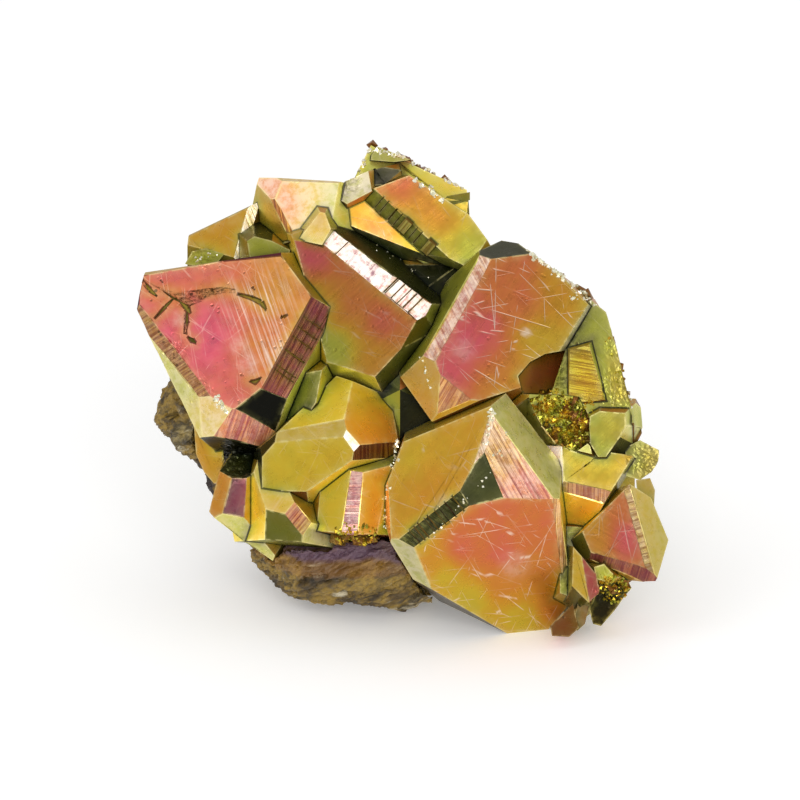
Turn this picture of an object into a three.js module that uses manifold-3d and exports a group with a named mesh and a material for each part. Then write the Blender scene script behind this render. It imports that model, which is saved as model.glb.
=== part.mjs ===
// A cluster of pyrite octahedra with an iridescent chalcopyrite skin, on a broken piece of matrix.
// Everything is first placed in the picture plane of someone who looks at the front of the specimen:
// x to the right, y up, z towards the eye, in millimetres. One group then tips that plane back,
// so that the specimen stands on its flat broken underside with +Z up.
import * as THREE from "three";
import { mergeVertices } from "three/addons/utils/BufferGeometryUtils.js";
import Module from "manifold-3d";

const wasm = await Module();
wasm.setup();
const { Manifold, Mesh } = wasm;

const EYE_DISTANCE = 600; // from the eye to the picture plane
const EYE_ELEVATION = 20; // degrees that the eye looks down on the specimen
const FLOOR = 20.9; // how far the resting plane lies below the middle of the picture plane
const ORIGIN = [-0.27, -1.247]; // row x and y of the middle of the picture plane
const GROWTH_GAP = 0.3; // clearance between the crystals and the matrix

// Angles between crystal faces, in degrees.
const OCTAHEDRAL = 70.53; // between two neighbouring octahedron faces
const CUBE = 54.74; // from an octahedron face to the cube face that cuts its corner
const BEVEL = 35.26; // from an octahedron face to the bevel on its edge

// Growth steps across a strip, whose width varies by `spread`.
const NOTCH = { width: 0.12, depth: 0.1, spread: 0.5 };
const BLOCK = { length: 0.9, height: 0.35 }; // the raised steps on the dark northern strip

// A hollow's outline is measured at the depth `mouth`; its cutter is a block this large.
const POCKET = { mouth: 7, block: 30, middle: 12 };
const PIT_DEPTH = 0.22; // of the etched cracks in the western face

const INRADIUS = 0.408; // of an octahedron, as a share of its edge
const OVERSIZE = 2.4; // the blank from which a crystal is cut, against its own edge

// The tiny octahedra of a crust: how far they stray and lean, how much their sizes and cuts vary.
const DRUSE = { wobble: 0.35, lean: 38, spread: 0.35, bevel: 0.02, corner: 0.05 };

// The matrix's unevenness: heights of its bumps at their widths.
const BUMPS = [
  { height: 1.1, width: 5 },
  { height: 0.6, width: 2.2 },
];

const MERGE = 1e-5; // points closer than this are one

const PYRITE = { name: "crystal_cluster", color: "#c4935a", metalness: 0.9, roughness: 0.35 };
const ROCK = { name: "matrix_rock", color: "#6b5638", metalness: 0.1, roughness: 0.8 };

// The common inside of the grown-together crystals.
const HEART = { width: 38, height: 31, depth: 18, middle: [0, 1, -4] };

const radians = THREE.MathUtils.degToRad;
const vector = (x, y, z) => new THREE.Vector3(x, y, z);

// The flat underside on which the specimen rests.
const RESTING = {
  normal: vector(0, -Math.cos(radians(EYE_ELEVATION)), -Math.sin(radians(EYE_ELEVATION))),
  distance: FLOOR,
};

// A plane is an outward normal and its distance from the middle of the picture plane.
function planeThrough(normal, point) {
  return { normal, distance: normal.dot(point) };
}

// A crystal face that passes through a point and leans to the right and upwards from the eye.
function face([x, y, z], [right, up]) {
  const normal = vector(
    Math.sin(radians(right)) * Math.cos(radians(up)),
    Math.sin(radians(up)),
    Math.cos(radians(right)) * Math.cos(radians(up)),
  );
  return planeThrough(normal, vector(x, y, z));
}

// The point of a face that is seen at a place in the picture plane.
function lift({ normal, distance }, [x, y]) {
  const toPlane = distance - normal.z * EYE_DISTANCE;
  const share = toPlane / (normal.x * x + normal.y * y - normal.z * EYE_DISTANCE);
  return vector(share * x, share * y, EYE_DISTANCE * (1 - share));
}

// The next face across an edge seen from p to q, with the old face on the left of that edge.
function fold(from, p, q, bend) {
  const start = lift(from, p);
  const axis = lift(from, q).sub(start).normalize();
  const side = axis.clone().cross(from.normal);
  const normal = from.normal.clone().multiplyScalar(Math.cos(radians(bend)));
  normal.addScaledVector(side, Math.sin(radians(bend)));
  return planeThrough(normal.normalize(), start);
}

// The face through three points, in the order left, down, right as seen from outside.
function across(a, b, c) {
  const normal = b.clone().sub(a).cross(c.clone().sub(a)).normalize();
  return planeThrough(normal, a);
}

// A face seen edge-on from p to q at the given depth, which turns away from the eye behind it.
function outline(p, q, depth, turn = 6) {
  const scale = 1 - depth / EYE_DISTANCE;
  const start = vector(p[0] * scale, p[1] * scale, depth);
  const axis = vector((q[0] - p[0]) * scale, (q[1] - p[1]) * scale, 0).normalize();
  const towardsEye = vector(0, 0, EYE_DISTANCE).sub(start).normalize();
  const normal = axis.cross(towardsEye).normalize();
  normal.multiplyScalar(Math.cos(radians(turn))).addScaledVector(towardsEye, -Math.sin(radians(turn)));
  return planeThrough(normal, start);
}

// A repeatable value between -1 and 1 for a lattice point.
function latticeValue(i, j, k) {
  const wave = Math.sin(i * 127.1 + j * 311.7 + k * 74.7) * 43758.5453;
  return 2 * (wave - Math.floor(wave)) - 1;
}

// A face along an edge of another face that is turned from edge-on by a tilt towards the eye.
function flank(from, p, q, tilt) {
  const start = lift(from, p);
  const axis = lift(from, q).sub(start).normalize();
  const towardsEye = vector(0, 0, EYE_DISTANCE).sub(start).normalize();
  const side = axis.clone().cross(towardsEye).normalize();
  const facing = side.clone().cross(axis);
  side.multiplyScalar(Math.cos(radians(tilt))).addScaledVector(facing, Math.sin(radians(tilt)));
  return planeThrough(side, start);
}

// Solids

function solidOf(geometry) {
  const bare = geometry.clone();
  bare.deleteAttribute("normal");
  bare.deleteAttribute("uv");
  const merged = mergeVertices(bare, MERGE);
  return new Manifold(new Mesh({
    numProp: 3,
    vertProperties: new Float32Array(merged.attributes.position.array),
    triVerts: new Uint32Array(merged.index.array),
  }));
}

// Cuts a solid back to some planes, each moved outwards by `growth`.
function trim(solid, planes, growth = 0) {
  let rest = solid;
  for (const { normal, distance } of planes) {
    rest = rest.trimByPlane([-normal.x, -normal.y, -normal.z], -distance - growth);
  }
  return rest;
}

function largestPiece(solid) {
  return solid.decompose().reduce((most, piece) => (piece.volume() > most.volume() ? piece : most));
}

// An octahedron that has `front` as one of its faces, with its middle behind (x, y).
// `spin` is the direction of one corner of the front face, in degrees from the right.
function octahedron(front, [x, y], edge, spin) {
  const body = new THREE.OctahedronGeometry(edge * Math.SQRT1_2);
  const corner = vector(1, 0, 0);
  const out = vector(1, 1, 1).normalize();
  const along = corner.clone().addScaledVector(out, -corner.dot(out)).normalize();
  const aside = out.clone().cross(along);
  const own = new THREE.Matrix4().makeBasis(along, aside, out);
  const wanted = vector(Math.cos(radians(spin)), Math.sin(radians(spin)), 0);
  wanted.addScaledVector(front.normal, -wanted.dot(front.normal)).normalize();
  const beside = front.normal.clone().cross(wanted);
  const target = new THREE.Matrix4().makeBasis(wanted, beside, front.normal);
  const middle = lift(front, [x, y]).addScaledVector(front.normal, -INRADIUS * edge);
  target.multiply(own.invert());
  target.setPosition(middle);
  body.applyMatrix4(target);
  return { solid: solidOf(body), middle, turn: target };
}

// A crystal of the given edge length, cut back to its own faces from a larger octahedron.
// The result is made for a growth: how far all its faces are moved outwards.
function crystal(front, middle, edge, spin, faces) {
  const { solid } = octahedron(front, middle, OVERSIZE * edge, spin);
  const back = {
    normal: front.normal.clone().negate(),
    distance: 2 * INRADIUS * edge - front.distance,
  };
  return (growth) => trim(solid, [front, back, ...faces], growth);
}

// A small crystal whose front face has the given corners, in the order left, down, right, up.
function blade(front, corners, edge, tilt = 20) {
  const middle = [0, 1].map((i) => corners.reduce((sum, corner) => sum + corner[i], 0) / corners.length);
  const sides = corners.map((corner, i) => flank(front, corner, corners[(i + 1) % corners.length], tilt));
  return crystal(front, middle, edge, 90, sides);
}

// A plain octahedron with bevelled edges and cut corners, the cuts as shares of the edge.
function plainCrystal(at, lean, edge, spin, bevelCut = 0.04, cornerCut = 0.1) {
  const { solid, middle, turn } = octahedron(face(at, lean), at, edge * 1.1, spin);
  const faces = [];
  const levels = [-1, 0, 1];
  for (const i of levels) {
    for (const j of levels) {
      for (const k of levels) {
        const kind = Math.abs(i) + Math.abs(j) + Math.abs(k);
        const reach = [0, Math.SQRT1_2 - cornerCut, 0.5 - bevelCut, INRADIUS][kind] * edge;
        if (kind > 0) {
          const normal = vector(i, j, k).normalize().transformDirection(turn);
          faces.push({ normal, distance: normal.dot(middle) + reach });
        }
      }
    }
  }
  return (growth) => trim(solid, faces, growth);
}

// A hollow with a flat floor and upright walls, seen from the front as a polygon.
function pocket(floor, corners) {
  const [x, y] = corners[0];
  const next = (i) => corners[(i + 1) % corners.length];
  const sides = corners.map((corner, i) => outline(corner, next(i), POCKET.mouth, 0));
  const block = new THREE.BoxGeometry(POCKET.block, POCKET.block, POCKET.block);
  block.translate(x, y, POCKET.middle);
  const ceiling = { normal: floor.normal.clone().negate(), distance: -floor.distance };
  return trim(solidOf(block), [...sides, ceiling]);
}

// A crack that runs through the points; each is [x, y, width there].
function crack(floor, points) {
  return points.slice(1).map((end, i) => {
    const [fromX, fromY, fromWidth] = points[i];
    const [toX, toY, toWidth] = end;
    const length = Math.hypot(toX - fromX, toY - fromY);
    const acrossX = (fromY - toY) / length / 2;
    const acrossY = (toX - fromX) / length / 2;
    return pocket(floor, [
      [fromX - acrossX * fromWidth, fromY - acrossY * fromWidth],
      [toX - acrossX * toWidth, toY - acrossY * toWidth],
      [toX + acrossX * toWidth, toY + acrossY * toWidth],
      [fromX + acrossX * fromWidth, fromY + acrossY * fromWidth],
    ]);
  });
}

function carve(solid, cuts) {
  return cuts.reduce((rest, cut) => rest.subtract(cut), solid);
}

// Bars laid across a strip, at shares of the way along it.
function bars(strip, from, to, width, places, size) {
  const start = lift(strip, from);
  const end = lift(strip, to);
  const along = end.clone().sub(start).normalize();
  const sideways = along.clone().cross(strip.normal);
  return places.map((place, i) => {
    const bar = new THREE.BoxGeometry(width, size(i), 1);
    const turn = new THREE.Matrix4().makeBasis(sideways, along, strip.normal);
    turn.setPosition(start.clone().lerp(end, place));
    return { bar, turn };
  });
}

// Growth steps: narrow notches across a strip.
function notches(strip, from, to, width, places) {
  const gap = (i) => NOTCH.width * (1 + NOTCH.spread * latticeValue(i, places.length, 1));
  return bars(strip, from, to, width, places, gap).map(({ bar, turn }) => {
    bar.scale(1, 1, NOTCH.depth * 2);
    return solidOf(bar.applyMatrix4(turn));
  });
}

// Growth steps: raised blocks across a strip.
function blocks(strip, from, to, width, places) {
  return bars(strip, from, to, width, places, () => BLOCK.length).map(({ bar, turn }) => {
    bar.scale(1, 1, BLOCK.height * 2);
    return solidOf(bar.applyMatrix4(turn));
  });
}

// The large crystals in front

function westCrystal() {
  const front = face([-18, 6.5, 7.5], [-4, 16]);
  const rightStrip = fold(front, [-13.7, 1.5], [-8.8, 10.3], 38);
  const rightSide = fold(rightStrip, [-11.2, 0.3], [-8.3, 5.6], 40);
  const underRight = across(
    lift(front, [-14.1, 1.0]),
    lift(front, [-16.6, -1.0]),
    lift(rightStrip, [-11.4, 0.2]),
  );
  const leftStrip = fold(front, [-25.2, 8.4], [-18.7, 0.0], 30);
  const leftSide = fold(leftStrip, [-24.9, 6.2], [-19.5, -0.5], 22);
  const leftBack = outline([-26.4, 9.2], [-19.7, -3.7], 6, 14);
  const rim = fold(front, [-17.8, 13.9], [-26.0, 12.4], BEVEL);
  const top = fold(front, [-11.3, 14.5], [-17.8, 13.9], BEVEL);
  const back = outline([-11.3, 14.9], [-26.2, 12.8], 6);
  const leftEnd = fold(front, [-26.0, 12.2], [-26.1, 9.4], CUBE);
  const leftCorner = outline([-26.0, 12.8], [-26.5, 9.6], 7, 14);
  const tip = fold(front, [-18.7, 0.2], [-16.6, -1.1], 42);
  const pinkStrip = fold(underRight, [-16.3, -1.0], [-13.8, -2.4], 26);
  const underTip = fold(tip, [-19.7, -3.7], [-15.0, -3.3], 50);
  const rightEnd = fold(front, [-8.8, 10.3], [-11.1, 13.4], CUBE);
  const whole = crystal(front, [-17.5, 8.0], 16, 270, [
    rightStrip, rightSide, underRight, leftStrip, leftSide, leftBack, rim, top, back,
    leftEnd, leftCorner, tip, pinkStrip, underTip, rightEnd,
  ]);
  const sunk = { normal: front.normal, distance: front.distance - PIT_DEPTH };
  const cuts = [
    ...notches(rightStrip, [-12.4, 1.0], [-8.4, 8.2], 2.6, [0.2, 0.26, 0.47, 0.66, 0.79, 0.93]),
    ...crack(sunk, [[-13.4, 9.0, 0.1], [-13.9, 9.8, 0.5], [-14.8, 10.2, 0.35], [-16.2, 10.6, 0.15]]),
    ...crack(sunk, [[-16.6, 10.9, 0.2], [-17.7, 11.0, 0.4], [-19.8, 10.6, 0.08]]),
    ...crack(sunk, [[-21.0, 8.7, 0.12], [-21.3, 9.2, 0.55], [-22.0, 9.9, 0.2]]),
    ...crack(sunk, [[-22.0, 9.9, 0.2], [-22.6, 10.4, 0.6], [-23.6, 10.9, 0.15]]),
    ...crack(sunk, [[-21.5, 6.7, 0.08], [-21.3, 7.8, 0.22], [-21.3, 9.0, 0.1]]),
    ...crack(sunk, [[-24.5, 8.2, 0.08], [-23.4, 9.4, 0.28], [-22.6, 10.2, 0.1]]),
    ...crack(sunk, [[-24.3, 10.4, 0.15], [-25.0, 11.0, 0.45], [-25.7, 11.8, 0.2]]),
    ...crack(sunk, [[-20.4, 5.7, 0.1], [-20.8, 6.0, 0.45], [-21.2, 6.3, 0.1]]),
    ...crack(sunk, [[-13.9, 2.2, 0.08], [-14.5, 1.8, 0.4], [-15.0, 1.9, 0.1]]),
    ...crack(sunk, [[-11.3, 8.5, 0.06], [-11.7, 8.3, 0.2], [-11.9, 8.1, 0.06]]),
  ];
  return (growth) => (growth > 0 ? whole(growth) : carve(whole(growth), cuts));
}

function middleCrystal() {
  const front = face([-4, 9, 6.5], [-8, 6]);
  const strip = fold(front, [1.7, 8.0], [-7.8, 15.7], BEVEL);
  const top = fold(strip, [2.9, 9.8], [-6.6, 16.9], BEVEL);
  const stripEnd = fold(strip, [2.4, 8.1], [3.0, 9.3], 50);
  const right = fold(front, [0.1, 5.1], [1.7, 8.0], CUBE);
  const lowerRight = fold(front, [-2.5, 2.3], [0.1, 5.1], OCTAHEDRAL);
  const bottom = fold(front, [-7.3, 3.8], [-2.5, 2.3], OCTAHEDRAL);
  const left = fold(front, [-9.9, 13.4], [-7.3, 3.8], OCTAHEDRAL);
  const upperLeft = across(
    lift(front, [-10.0, 15.9]),
    lift(front, [-7.8, 15.7]),
    lift(strip, [-6.8, 17.0]),
  );
  const whole = crystal(front, [-4.0, 9.8], 12, 45, [
    strip, top, stripEnd, right, lowerRight, bottom, left, upperLeft,
  ]);
  const places = [0.14, 0.66, 0.675, 0.74, 0.81, 0.87, 0.93];
  const steps = notches(strip, [-7.0, 16.3], [2.2, 9.0], 2.4, places);
  return (growth) => (growth > 0 ? whole(growth) : carve(whole(growth), steps));
}

function eastCrystal() {
  const front = face([10.5, 7.0, 8.5], [4, 12]);
  const strip = fold(front, [9.0, 14.0], [3.2, 3.4], BEVEL);
  const leftSide = fold(strip, [7.8, 14.2], [1.9, 3.7], BEVEL);
  const lowerLeft = fold(front, [3.4, 3.0], [7.0, 0.0], 32);
  const tan = fold(lowerLeft, [4.0, 1.8], [3.7, -1.8], 26);
  const under = fold(lowerLeft, [3.6, -1.9], [7.0, -0.4], 72);
  const leftUnder = fold(tan, [1.3, 0.5], [3.0, -1.9], 60);
  const top = fold(front, [14.5, 14.8], [9.0, 14.1], 50);
  const back = outline([14.6, 15.0], [9.8, 16.3], 5, 12);
  const backLeft = outline([10.2, 16.3], [7.6, 14.6], 5, 12);
  const rightTop = fold(front, [16.3, 12.3], [13.8, 15.0], 70);
  const upperRight = fold(front, [19.3, 10.2], [15.6, 12.9], 76);
  const right = fold(front, [13.0, 0.0], [19.2, 10.2], 60);
  const behind = outline([21.0, 0.0], [19.4, 9.8], 0, 12);
  const bottom = fold(front, [7.0, 0.0], [12.6, -0.4], CUBE);
  return crystal(front, [10.5, 6.5], 16, 60, [
    strip, leftSide, lowerLeft, tan, under, leftUnder, top, back, backLeft, rightTop, upperRight,
    right, behind, bottom,
  ]);
}

function southCrystal() {
  const left = face([4.0, -6.5, 12.6], [-30, 17]);
  const lowerStrip = fold(left, [0.2, -13.7], [6.0, -9.1], BEVEL);
  const bottom = fold(lowerStrip, [1.7, -14.5], [7.0, -10.5], BEVEL);
  const cube = fold(bottom, [15.1, -9.9], [10.5, -9.8], 40.5);
  const green = fold(cube, [14.5, -8.7], [10.0, -2.5], 42);
  const whiteStrip = fold(left, [7.4, -6.4], [9.3, -0.5], 24);
  const roughCorner = fold(left, [6.0, -9.1], [7.4, -6.4], 42);
  const top = fold(left, [9.3, -0.5], [3.2, -3.0], CUBE);
  const upperLeft = fold(left, [1.0, -2.5], [-1.2, -8.1], CUBE);
  const leftEnd = fold(left, [-1.2, -8.1], [-0.9, -13.7], CUBE);
  const greenTop = fold(green, [15.7, -5.8], [11.5, -0.5], CUBE);
  const paleStrip = fold(bottom, [1.5, -15.0], [3.3, -19.2], 40);
  const paleSide = fold(paleStrip, [0.0, -15.8], [1.9, -18.9], 50);
  const underside = fold(bottom, [3.3, -19.0], [10.8, -23.4], 62);
  const toe = fold(bottom, [10.8, -23.4], [14.3, -23.6], 62);
  const heel = fold(bottom, [14.3, -23.6], [16.3, -21.2], 50);
  const rightStrip = fold(bottom, [16.7, -21.0], [15.3, -9.9], 30);
  const rightSide = fold(rightStrip, [17.3, -21.0], [15.9, -9.3], 42);
  const whole = crystal(left, [6.5, -10.5], 27, 250, [
    lowerStrip, bottom, cube, green, whiteStrip, roughCorner, top, upperLeft, leftEnd, greenTop,
    paleStrip, paleSide, underside, toe, heel, rightStrip, rightSide,
  ]);
  const places = [0.08, 0.17, 0.24, 0.36, 0.42, 0.55, 0.62, 0.74, 0.88];
  const steps = notches(lowerStrip, [1.0, -14.0], [6.4, -9.8], 2.4, places);
  return (growth) => (growth > 0 ? whole(growth) : carve(whole(growth), steps));
}

// The crystals between them

function centreCrystal() {
  const yellow = face([-9.0, -6.3, 9.0], [-10, -8]);
  const band = fold(yellow, [-6.0, -3.7], [-12.5, -4.2], 32);
  const upperLeft = fold(band, [-6.5, -2.1], [-11.5, -3.0], 18);
  const whiteStrip = fold(yellow, [-4.8, -4.9], [-6.0, -3.2], BEVEL);
  const orange = fold(whiteStrip, [-4.0, -4.5], [-5.7, -2.6], 25);
  const left = flank(yellow, [-13.8, -5.0], [-13.8, -8.5], 12);
  const bottom = fold(yellow, [-13.2, -9.1], [-7.5, -9.2], CUBE);
  const lowerRight = fold(yellow, [-7.5, -9.2], [-4.6, -6.3], 50);
  const darkStrip = fold(orange, [-4.0, -4.5], [-1.2, -4.3], 40);
  const darkUnder = fold(darkStrip, [-4.4, -6.0], [-1.1, -5.8], 40);
  const right = fold(orange, [-0.2, -4.0], [-0.9, 0.0], 42);
  const top = fold(orange, [-1.0, 0.3], [-6.9, 2.8], CUBE);
  const ridgeLeft = fold(upperLeft, [-7.3, 1.5], [-11.6, -2.6], 46);
  const leftCorner = fold(yellow, [-12.5, -4.2], [-13.9, -5.8], 46);
  return crystal(yellow, [-8.0, -4.0], 15, 300, [
    band, upperLeft, whiteStrip, orange, left, bottom, lowerRight, darkStrip, darkUnder, right, top,
    ridgeLeft, leftCorner,
  ]);
}

function southSmallCrystal() {
  const orange = face([-2.6, -10.8, 8.5], [22, 2]);
  const strip = fold(orange, [-3.8, -7.9], [-4.2, -12.3], 24);
  const yellow = fold(strip, [-5.0, -7.9], [-5.7, -12.4], 28);
  const end = flank(orange, [-3.4, -13.7], [-2.2, -13.9], 4);
  const right = fold(orange, [-2.0, -12.0], [-1.2, -8.2], 30);
  const lower = flank(yellow, [-8.0, -13.6], [-4.5, -13.4], 4);
  const left = fold(yellow, [-8.0, -9.0], [-8.4, -13.6], 40);
  const top = fold(orange, [-1.2, -6.6], [-4.4, -7.4], 50);
  return crystal(orange, [-4.0, -10.0], 9, 100, [strip, yellow, end, right, lower, left, top]);
}

function stripedCrystal() {
  const olive = face([-11.5, -12.8, 9.0], [-14, -12]);
  const top = fold(olive, [-11.5, -11.4], [-13.2, -11.0], 42);
  const strip = fold(olive, [-10.0, -13.2], [-11.5, -11.4], 40);
  const right = fold(strip, [-9.5, -13.2], [-8.6, -11.8], 45);
  const outer = fold(strip, [-8.6, -12.6], [-10.4, -10.4], 45);
  const bottom = flank(olive, [-13.2, -14.0], [-10.2, -14.2], 4);
  const left = fold(olive, [-13.4, -11.0], [-13.5, -13.4], 50);
  return crystal(olive, [-11.2, -12.2], 7, 210, [top, strip, right, outer, bottom, left]);
}

function southwestCrystal() {
  const purple = face([-16.2, -10.0, 6.5], [8, -6]);
  const orange = fold(purple, [-16.8, -7.8], [-17.6, -10.8], 34);
  const yellow = fold(purple, [-15.6, -12.2], [-15.4, -9.0], 32);
  const top = fold(purple, [-15.8, -7.8], [-17.0, -7.8], CUBE);
  const bottom = fold(purple, [-17.4, -11.4], [-16.4, -11.6], 34);
  const left = outline([-18.1, -7.4], [-19.2, -11.4], 6, 14);
  const lowerLeft = outline([-19.2, -11.5], [-16.8, -13.6], 6, 14);
  const foot = outline([-17.0, -13.3], [-14.9, -15.4], 6, 14);
  return crystal(purple, [-16.3, -10.3], 8, 270, [
    orange, yellow, top, bottom, left, lowerLeft, foot,
  ]);
}

function goldCrystal() {
  const upper = face([19.0, -6.3, 8.2], [4, 8]);
  const strip = fold(upper, [16.2, -8.1], [20.7, -9.1], BEVEL);
  const lower = fold(strip, [16.2, -9.1], [20.3, -10.3], 18);
  const top = flank(upper, [22.2, -5.4], [16.2, -4.6], -6);
  const right = flank(upper, [21.2, -9.0], [22.6, -6.8], 4);
  const left = fold(upper, [16.2, -4.5], [16.4, -8.5], 50);
  const foot = fold(lower, [17.2, -13.2], [21.0, -11.3], 50);
  return crystal(upper, [19.0, -7.5], 9, 20, [strip, lower, top, right, left, foot]);
}

function southeastCrystal() {
  const pink = face([21.3, -14.0, 8.0], [-6, -4]);
  const strip = fold(pink, [24.5, -16.3], [22.5, -9.2], 24);
  const right = fold(strip, [25.1, -16.2], [23.1, -9.0], 28);
  const lowerStrip = fold(pink, [19.2, -15.3], [24.0, -16.7], BEVEL);
  const bottom = fold(lowerStrip, [19.2, -16.0], [23.2, -17.7], BEVEL);
  const left = flank(pink, [21.7, -9.7], [18.4, -13.0], 6);
  const lowerLeft = fold(pink, [18.4, -13.6], [19.1, -15.3], 50);
  const top = outline([25.0, -9.8], [22.0, -8.4], 6, 10);
  const upperRight = outline([26.9, -14.0], [25.0, -9.8], 6, 10);
  const lowerRight = outline([25.4, -17.8], [26.9, -14.0], 6, 10);
  const foot = outline([22.6, -18.2], [25.4, -17.9], 6, 10);
  return crystal(pink, [22.4, -13.6], 10, 100, [
    strip, right, lowerStrip, bottom, left, lowerLeft, top, upperRight, lowerRight, foot,
  ]);
}

// The crystals along the top

function northFront() {
  const front = face([-1.0, 17.2, 0.8], [3, 5]);
  const under = fold(front, [-5.9, 17.8], [2.8, 14.4], 46);
  const left = fold(front, [-5.3, 19.5], [-5.9, 17.8], CUBE);
  const upperLeft = fold(front, [-3.3, 20.3], [-5.3, 19.5], 40);
  const back = outline([3.0, 22.0], [-6.0, 21.8], 0);
  const right = outline([4.5, 15.0], [-1.0, 21.4], 0, 0);
  return crystal(front, [0.5, 17.6], 15, 40, [under, left, upperLeft, back, right]);
}

function northBack() {
  const front = face([4.5, 17.5, 1.6], [6, 8]);
  const strip = fold(front, [-2.8, 21.3], [3.7, 15.3], 48);
  const under = fold(front, [3.6, 14.8], [6.9, 13.2], OCTAHEDRAL);
  const right = fold(front, [6.9, 13.2], [8.7, 16.0], 50);
  const upperRight = outline([8.7, 16.0], [6.9, 18.5], 1);
  const top = fold(front, [6.8, 18.6], [1.5, 22.1], 82);
  const upperLeft = fold(front, [1.0, 22.5], [-2.0, 21.4], 80);
  const whole = crystal(front, [3.8, 17.6], 12, 45, [strip, under, right, upperRight, top, upperLeft]);
  const places = [0.1, 0.18, 0.32, 0.41, 0.66, 0.74];
  const steps = notches(strip, [-2.6, 20.4], [3.4, 14.9], 2.6, places);
  const raised = blocks(strip, [-2.6, 20.4], [3.4, 14.9], 1.6, [0.53, 0.92]);
  return (growth) => {
    const solid = whole(growth);
    return growth > 0 ? solid : carve(raised.reduce((all, block) => all.add(block), solid), steps);
  };
}

function northWestEdge() {
  const front = face([-4.8, 21.2, 1.2], [-14, 24]);
  const top = outline([-3.0, 23.0], [-6.5, 21.5], 1);
  const left = outline([-6.5, 21.6], [-6.4, 18.5], 1);
  const right = fold(front, [-2.8, 20.8], [-3.2, 23.0], 60);
  const bottom = flank(front, [-5.3, 19.6], [-2.8, 20.9], 24);
  const lowerLeft = flank(front, [-6.4, 20.2], [-5.3, 19.6], 24);
  return crystal(front, [-4.4, 20.8], 8, 270, [top, left, right, bottom, lowerLeft]);
}

function crownCrystal() {
  const front = face([1.5, 22.8, -3.6], [6, 24]);
  const top = outline([7.0, 20.8], [-2.8, 25.7], -3.6, 16);
  const left = outline([-3.0, 25.7], [-4.2, 22.6], -3.6, 12);
  const right = outline([7.0, 18.5], [7.0, 20.8], -2, 12);
  return crystal(front, [1.6, 21.8], 10, 55, [top, left, right]);
}

function brightCrystal() {
  const front = face([-9.5, 20.0, 1.6], [-8, 22]);
  const rim = fold(front, [-6.7, 21.7], [-12.2, 21.9], BEVEL);
  const strip = fold(front, [-12.5, 20.1], [-10.9, 17.1], 28);
  const left = fold(strip, [-13.1, 20.4], [-11.4, 16.9], BEVEL);
  const facet = fold(front, [-11.8, 21.8], [-12.5, 20.1], 24);
  const back = outline([-6.7, 22.0], [-14.0, 22.6], 2);
  const leftBack = outline([-14.2, 22.4], [-15.2, 19.0], 0);
  const right = fold(front, [-6.5, 19.5], [-6.2, 21.2], CUBE);
  return crystal(front, [-9.6, 19.0], 14, 95, [rim, back, strip, left, leftBack, facet, right]);
}

function northwestCrystal() {
  const front = face([-18.0, 16.6, -1.0], [-8, 16]);
  const top = fold(front, [-15.7, 19.0], [-21.0, 16.4], CUBE);
  const back = outline([-15.6, 19.2], [-21.1, 16.6], -1);
  const left = outline([-21.2, 16.4], [-21.4, 14.0], -1);
  const bottom = fold(front, [-21.0, 15.4], [-17.2, 14.4], CUBE);
  const strip = fold(front, [-16.5, 14.6], [-15.3, 18.9], BEVEL);
  const valley = fold(strip, [-15.5, 14.6], [-14.3, 18.8], BEVEL);
  return crystal(front, [-17.8, 16.2], 11, 60, [top, back, left, bottom, strip, valley]);
}

// The damaged east side

function farEastCrystal() {
  const front = face([19.0, 4.0, 7.2], [16, 4]);
  const right = flank(front, [23.2, -1.4], [21.7, 5.2], -10);
  const upperRight = flank(front, [21.7, 5.2], [20.6, 8.8], -10);
  const top = flank(front, [20.6, 8.8], [18.6, 10.4], -10);
  const upperLeft = flank(front, [19.0, 10.0], [13.8, 5.3], 20);
  const left = flank(front, [14.0, 5.4], [12.6, -1.0], 20);
  const bottomLeft = flank(front, [12.8, 0.4], [16.6, -4.6], 30);
  const bottom = fold(front, [15.0, -4.4], [22.5, -2.5], 50);
  return crystal(front, [17.5, 3.0], 12, 170, [
    right, upperRight, top, upperLeft, left, bottomLeft, bottom,
  ]);
}

// The hollow where a crystal has broken out between the two eastern ones.
function eastHollow() {
  return pocket(face([14.2, 2.5, 6.0], [30, 6]), [
    [16.7, 5.0], [14.5, 4.6], [13.0, 3.8], [11.8, 2.4], [12.2, 0.8], [13.1, -0.1], [14.6, 0.5],
    [16.8, 0.4],
  ]);
}

// The broken ground under it, where only tiny crystals grow.
function druseHollow() {
  return pocket(face([16.0, -2.0, 6.4], [8, -6]), [
    [16.8, 0.5], [14.6, 0.6], [12.8, 0.1], [14.2, -2.6], [15.6, -4.4], [17.6, -5.2], [19.0, -4.2],
    [18.9, -1.6], [17.9, 0.3],
  ]);
}

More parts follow.
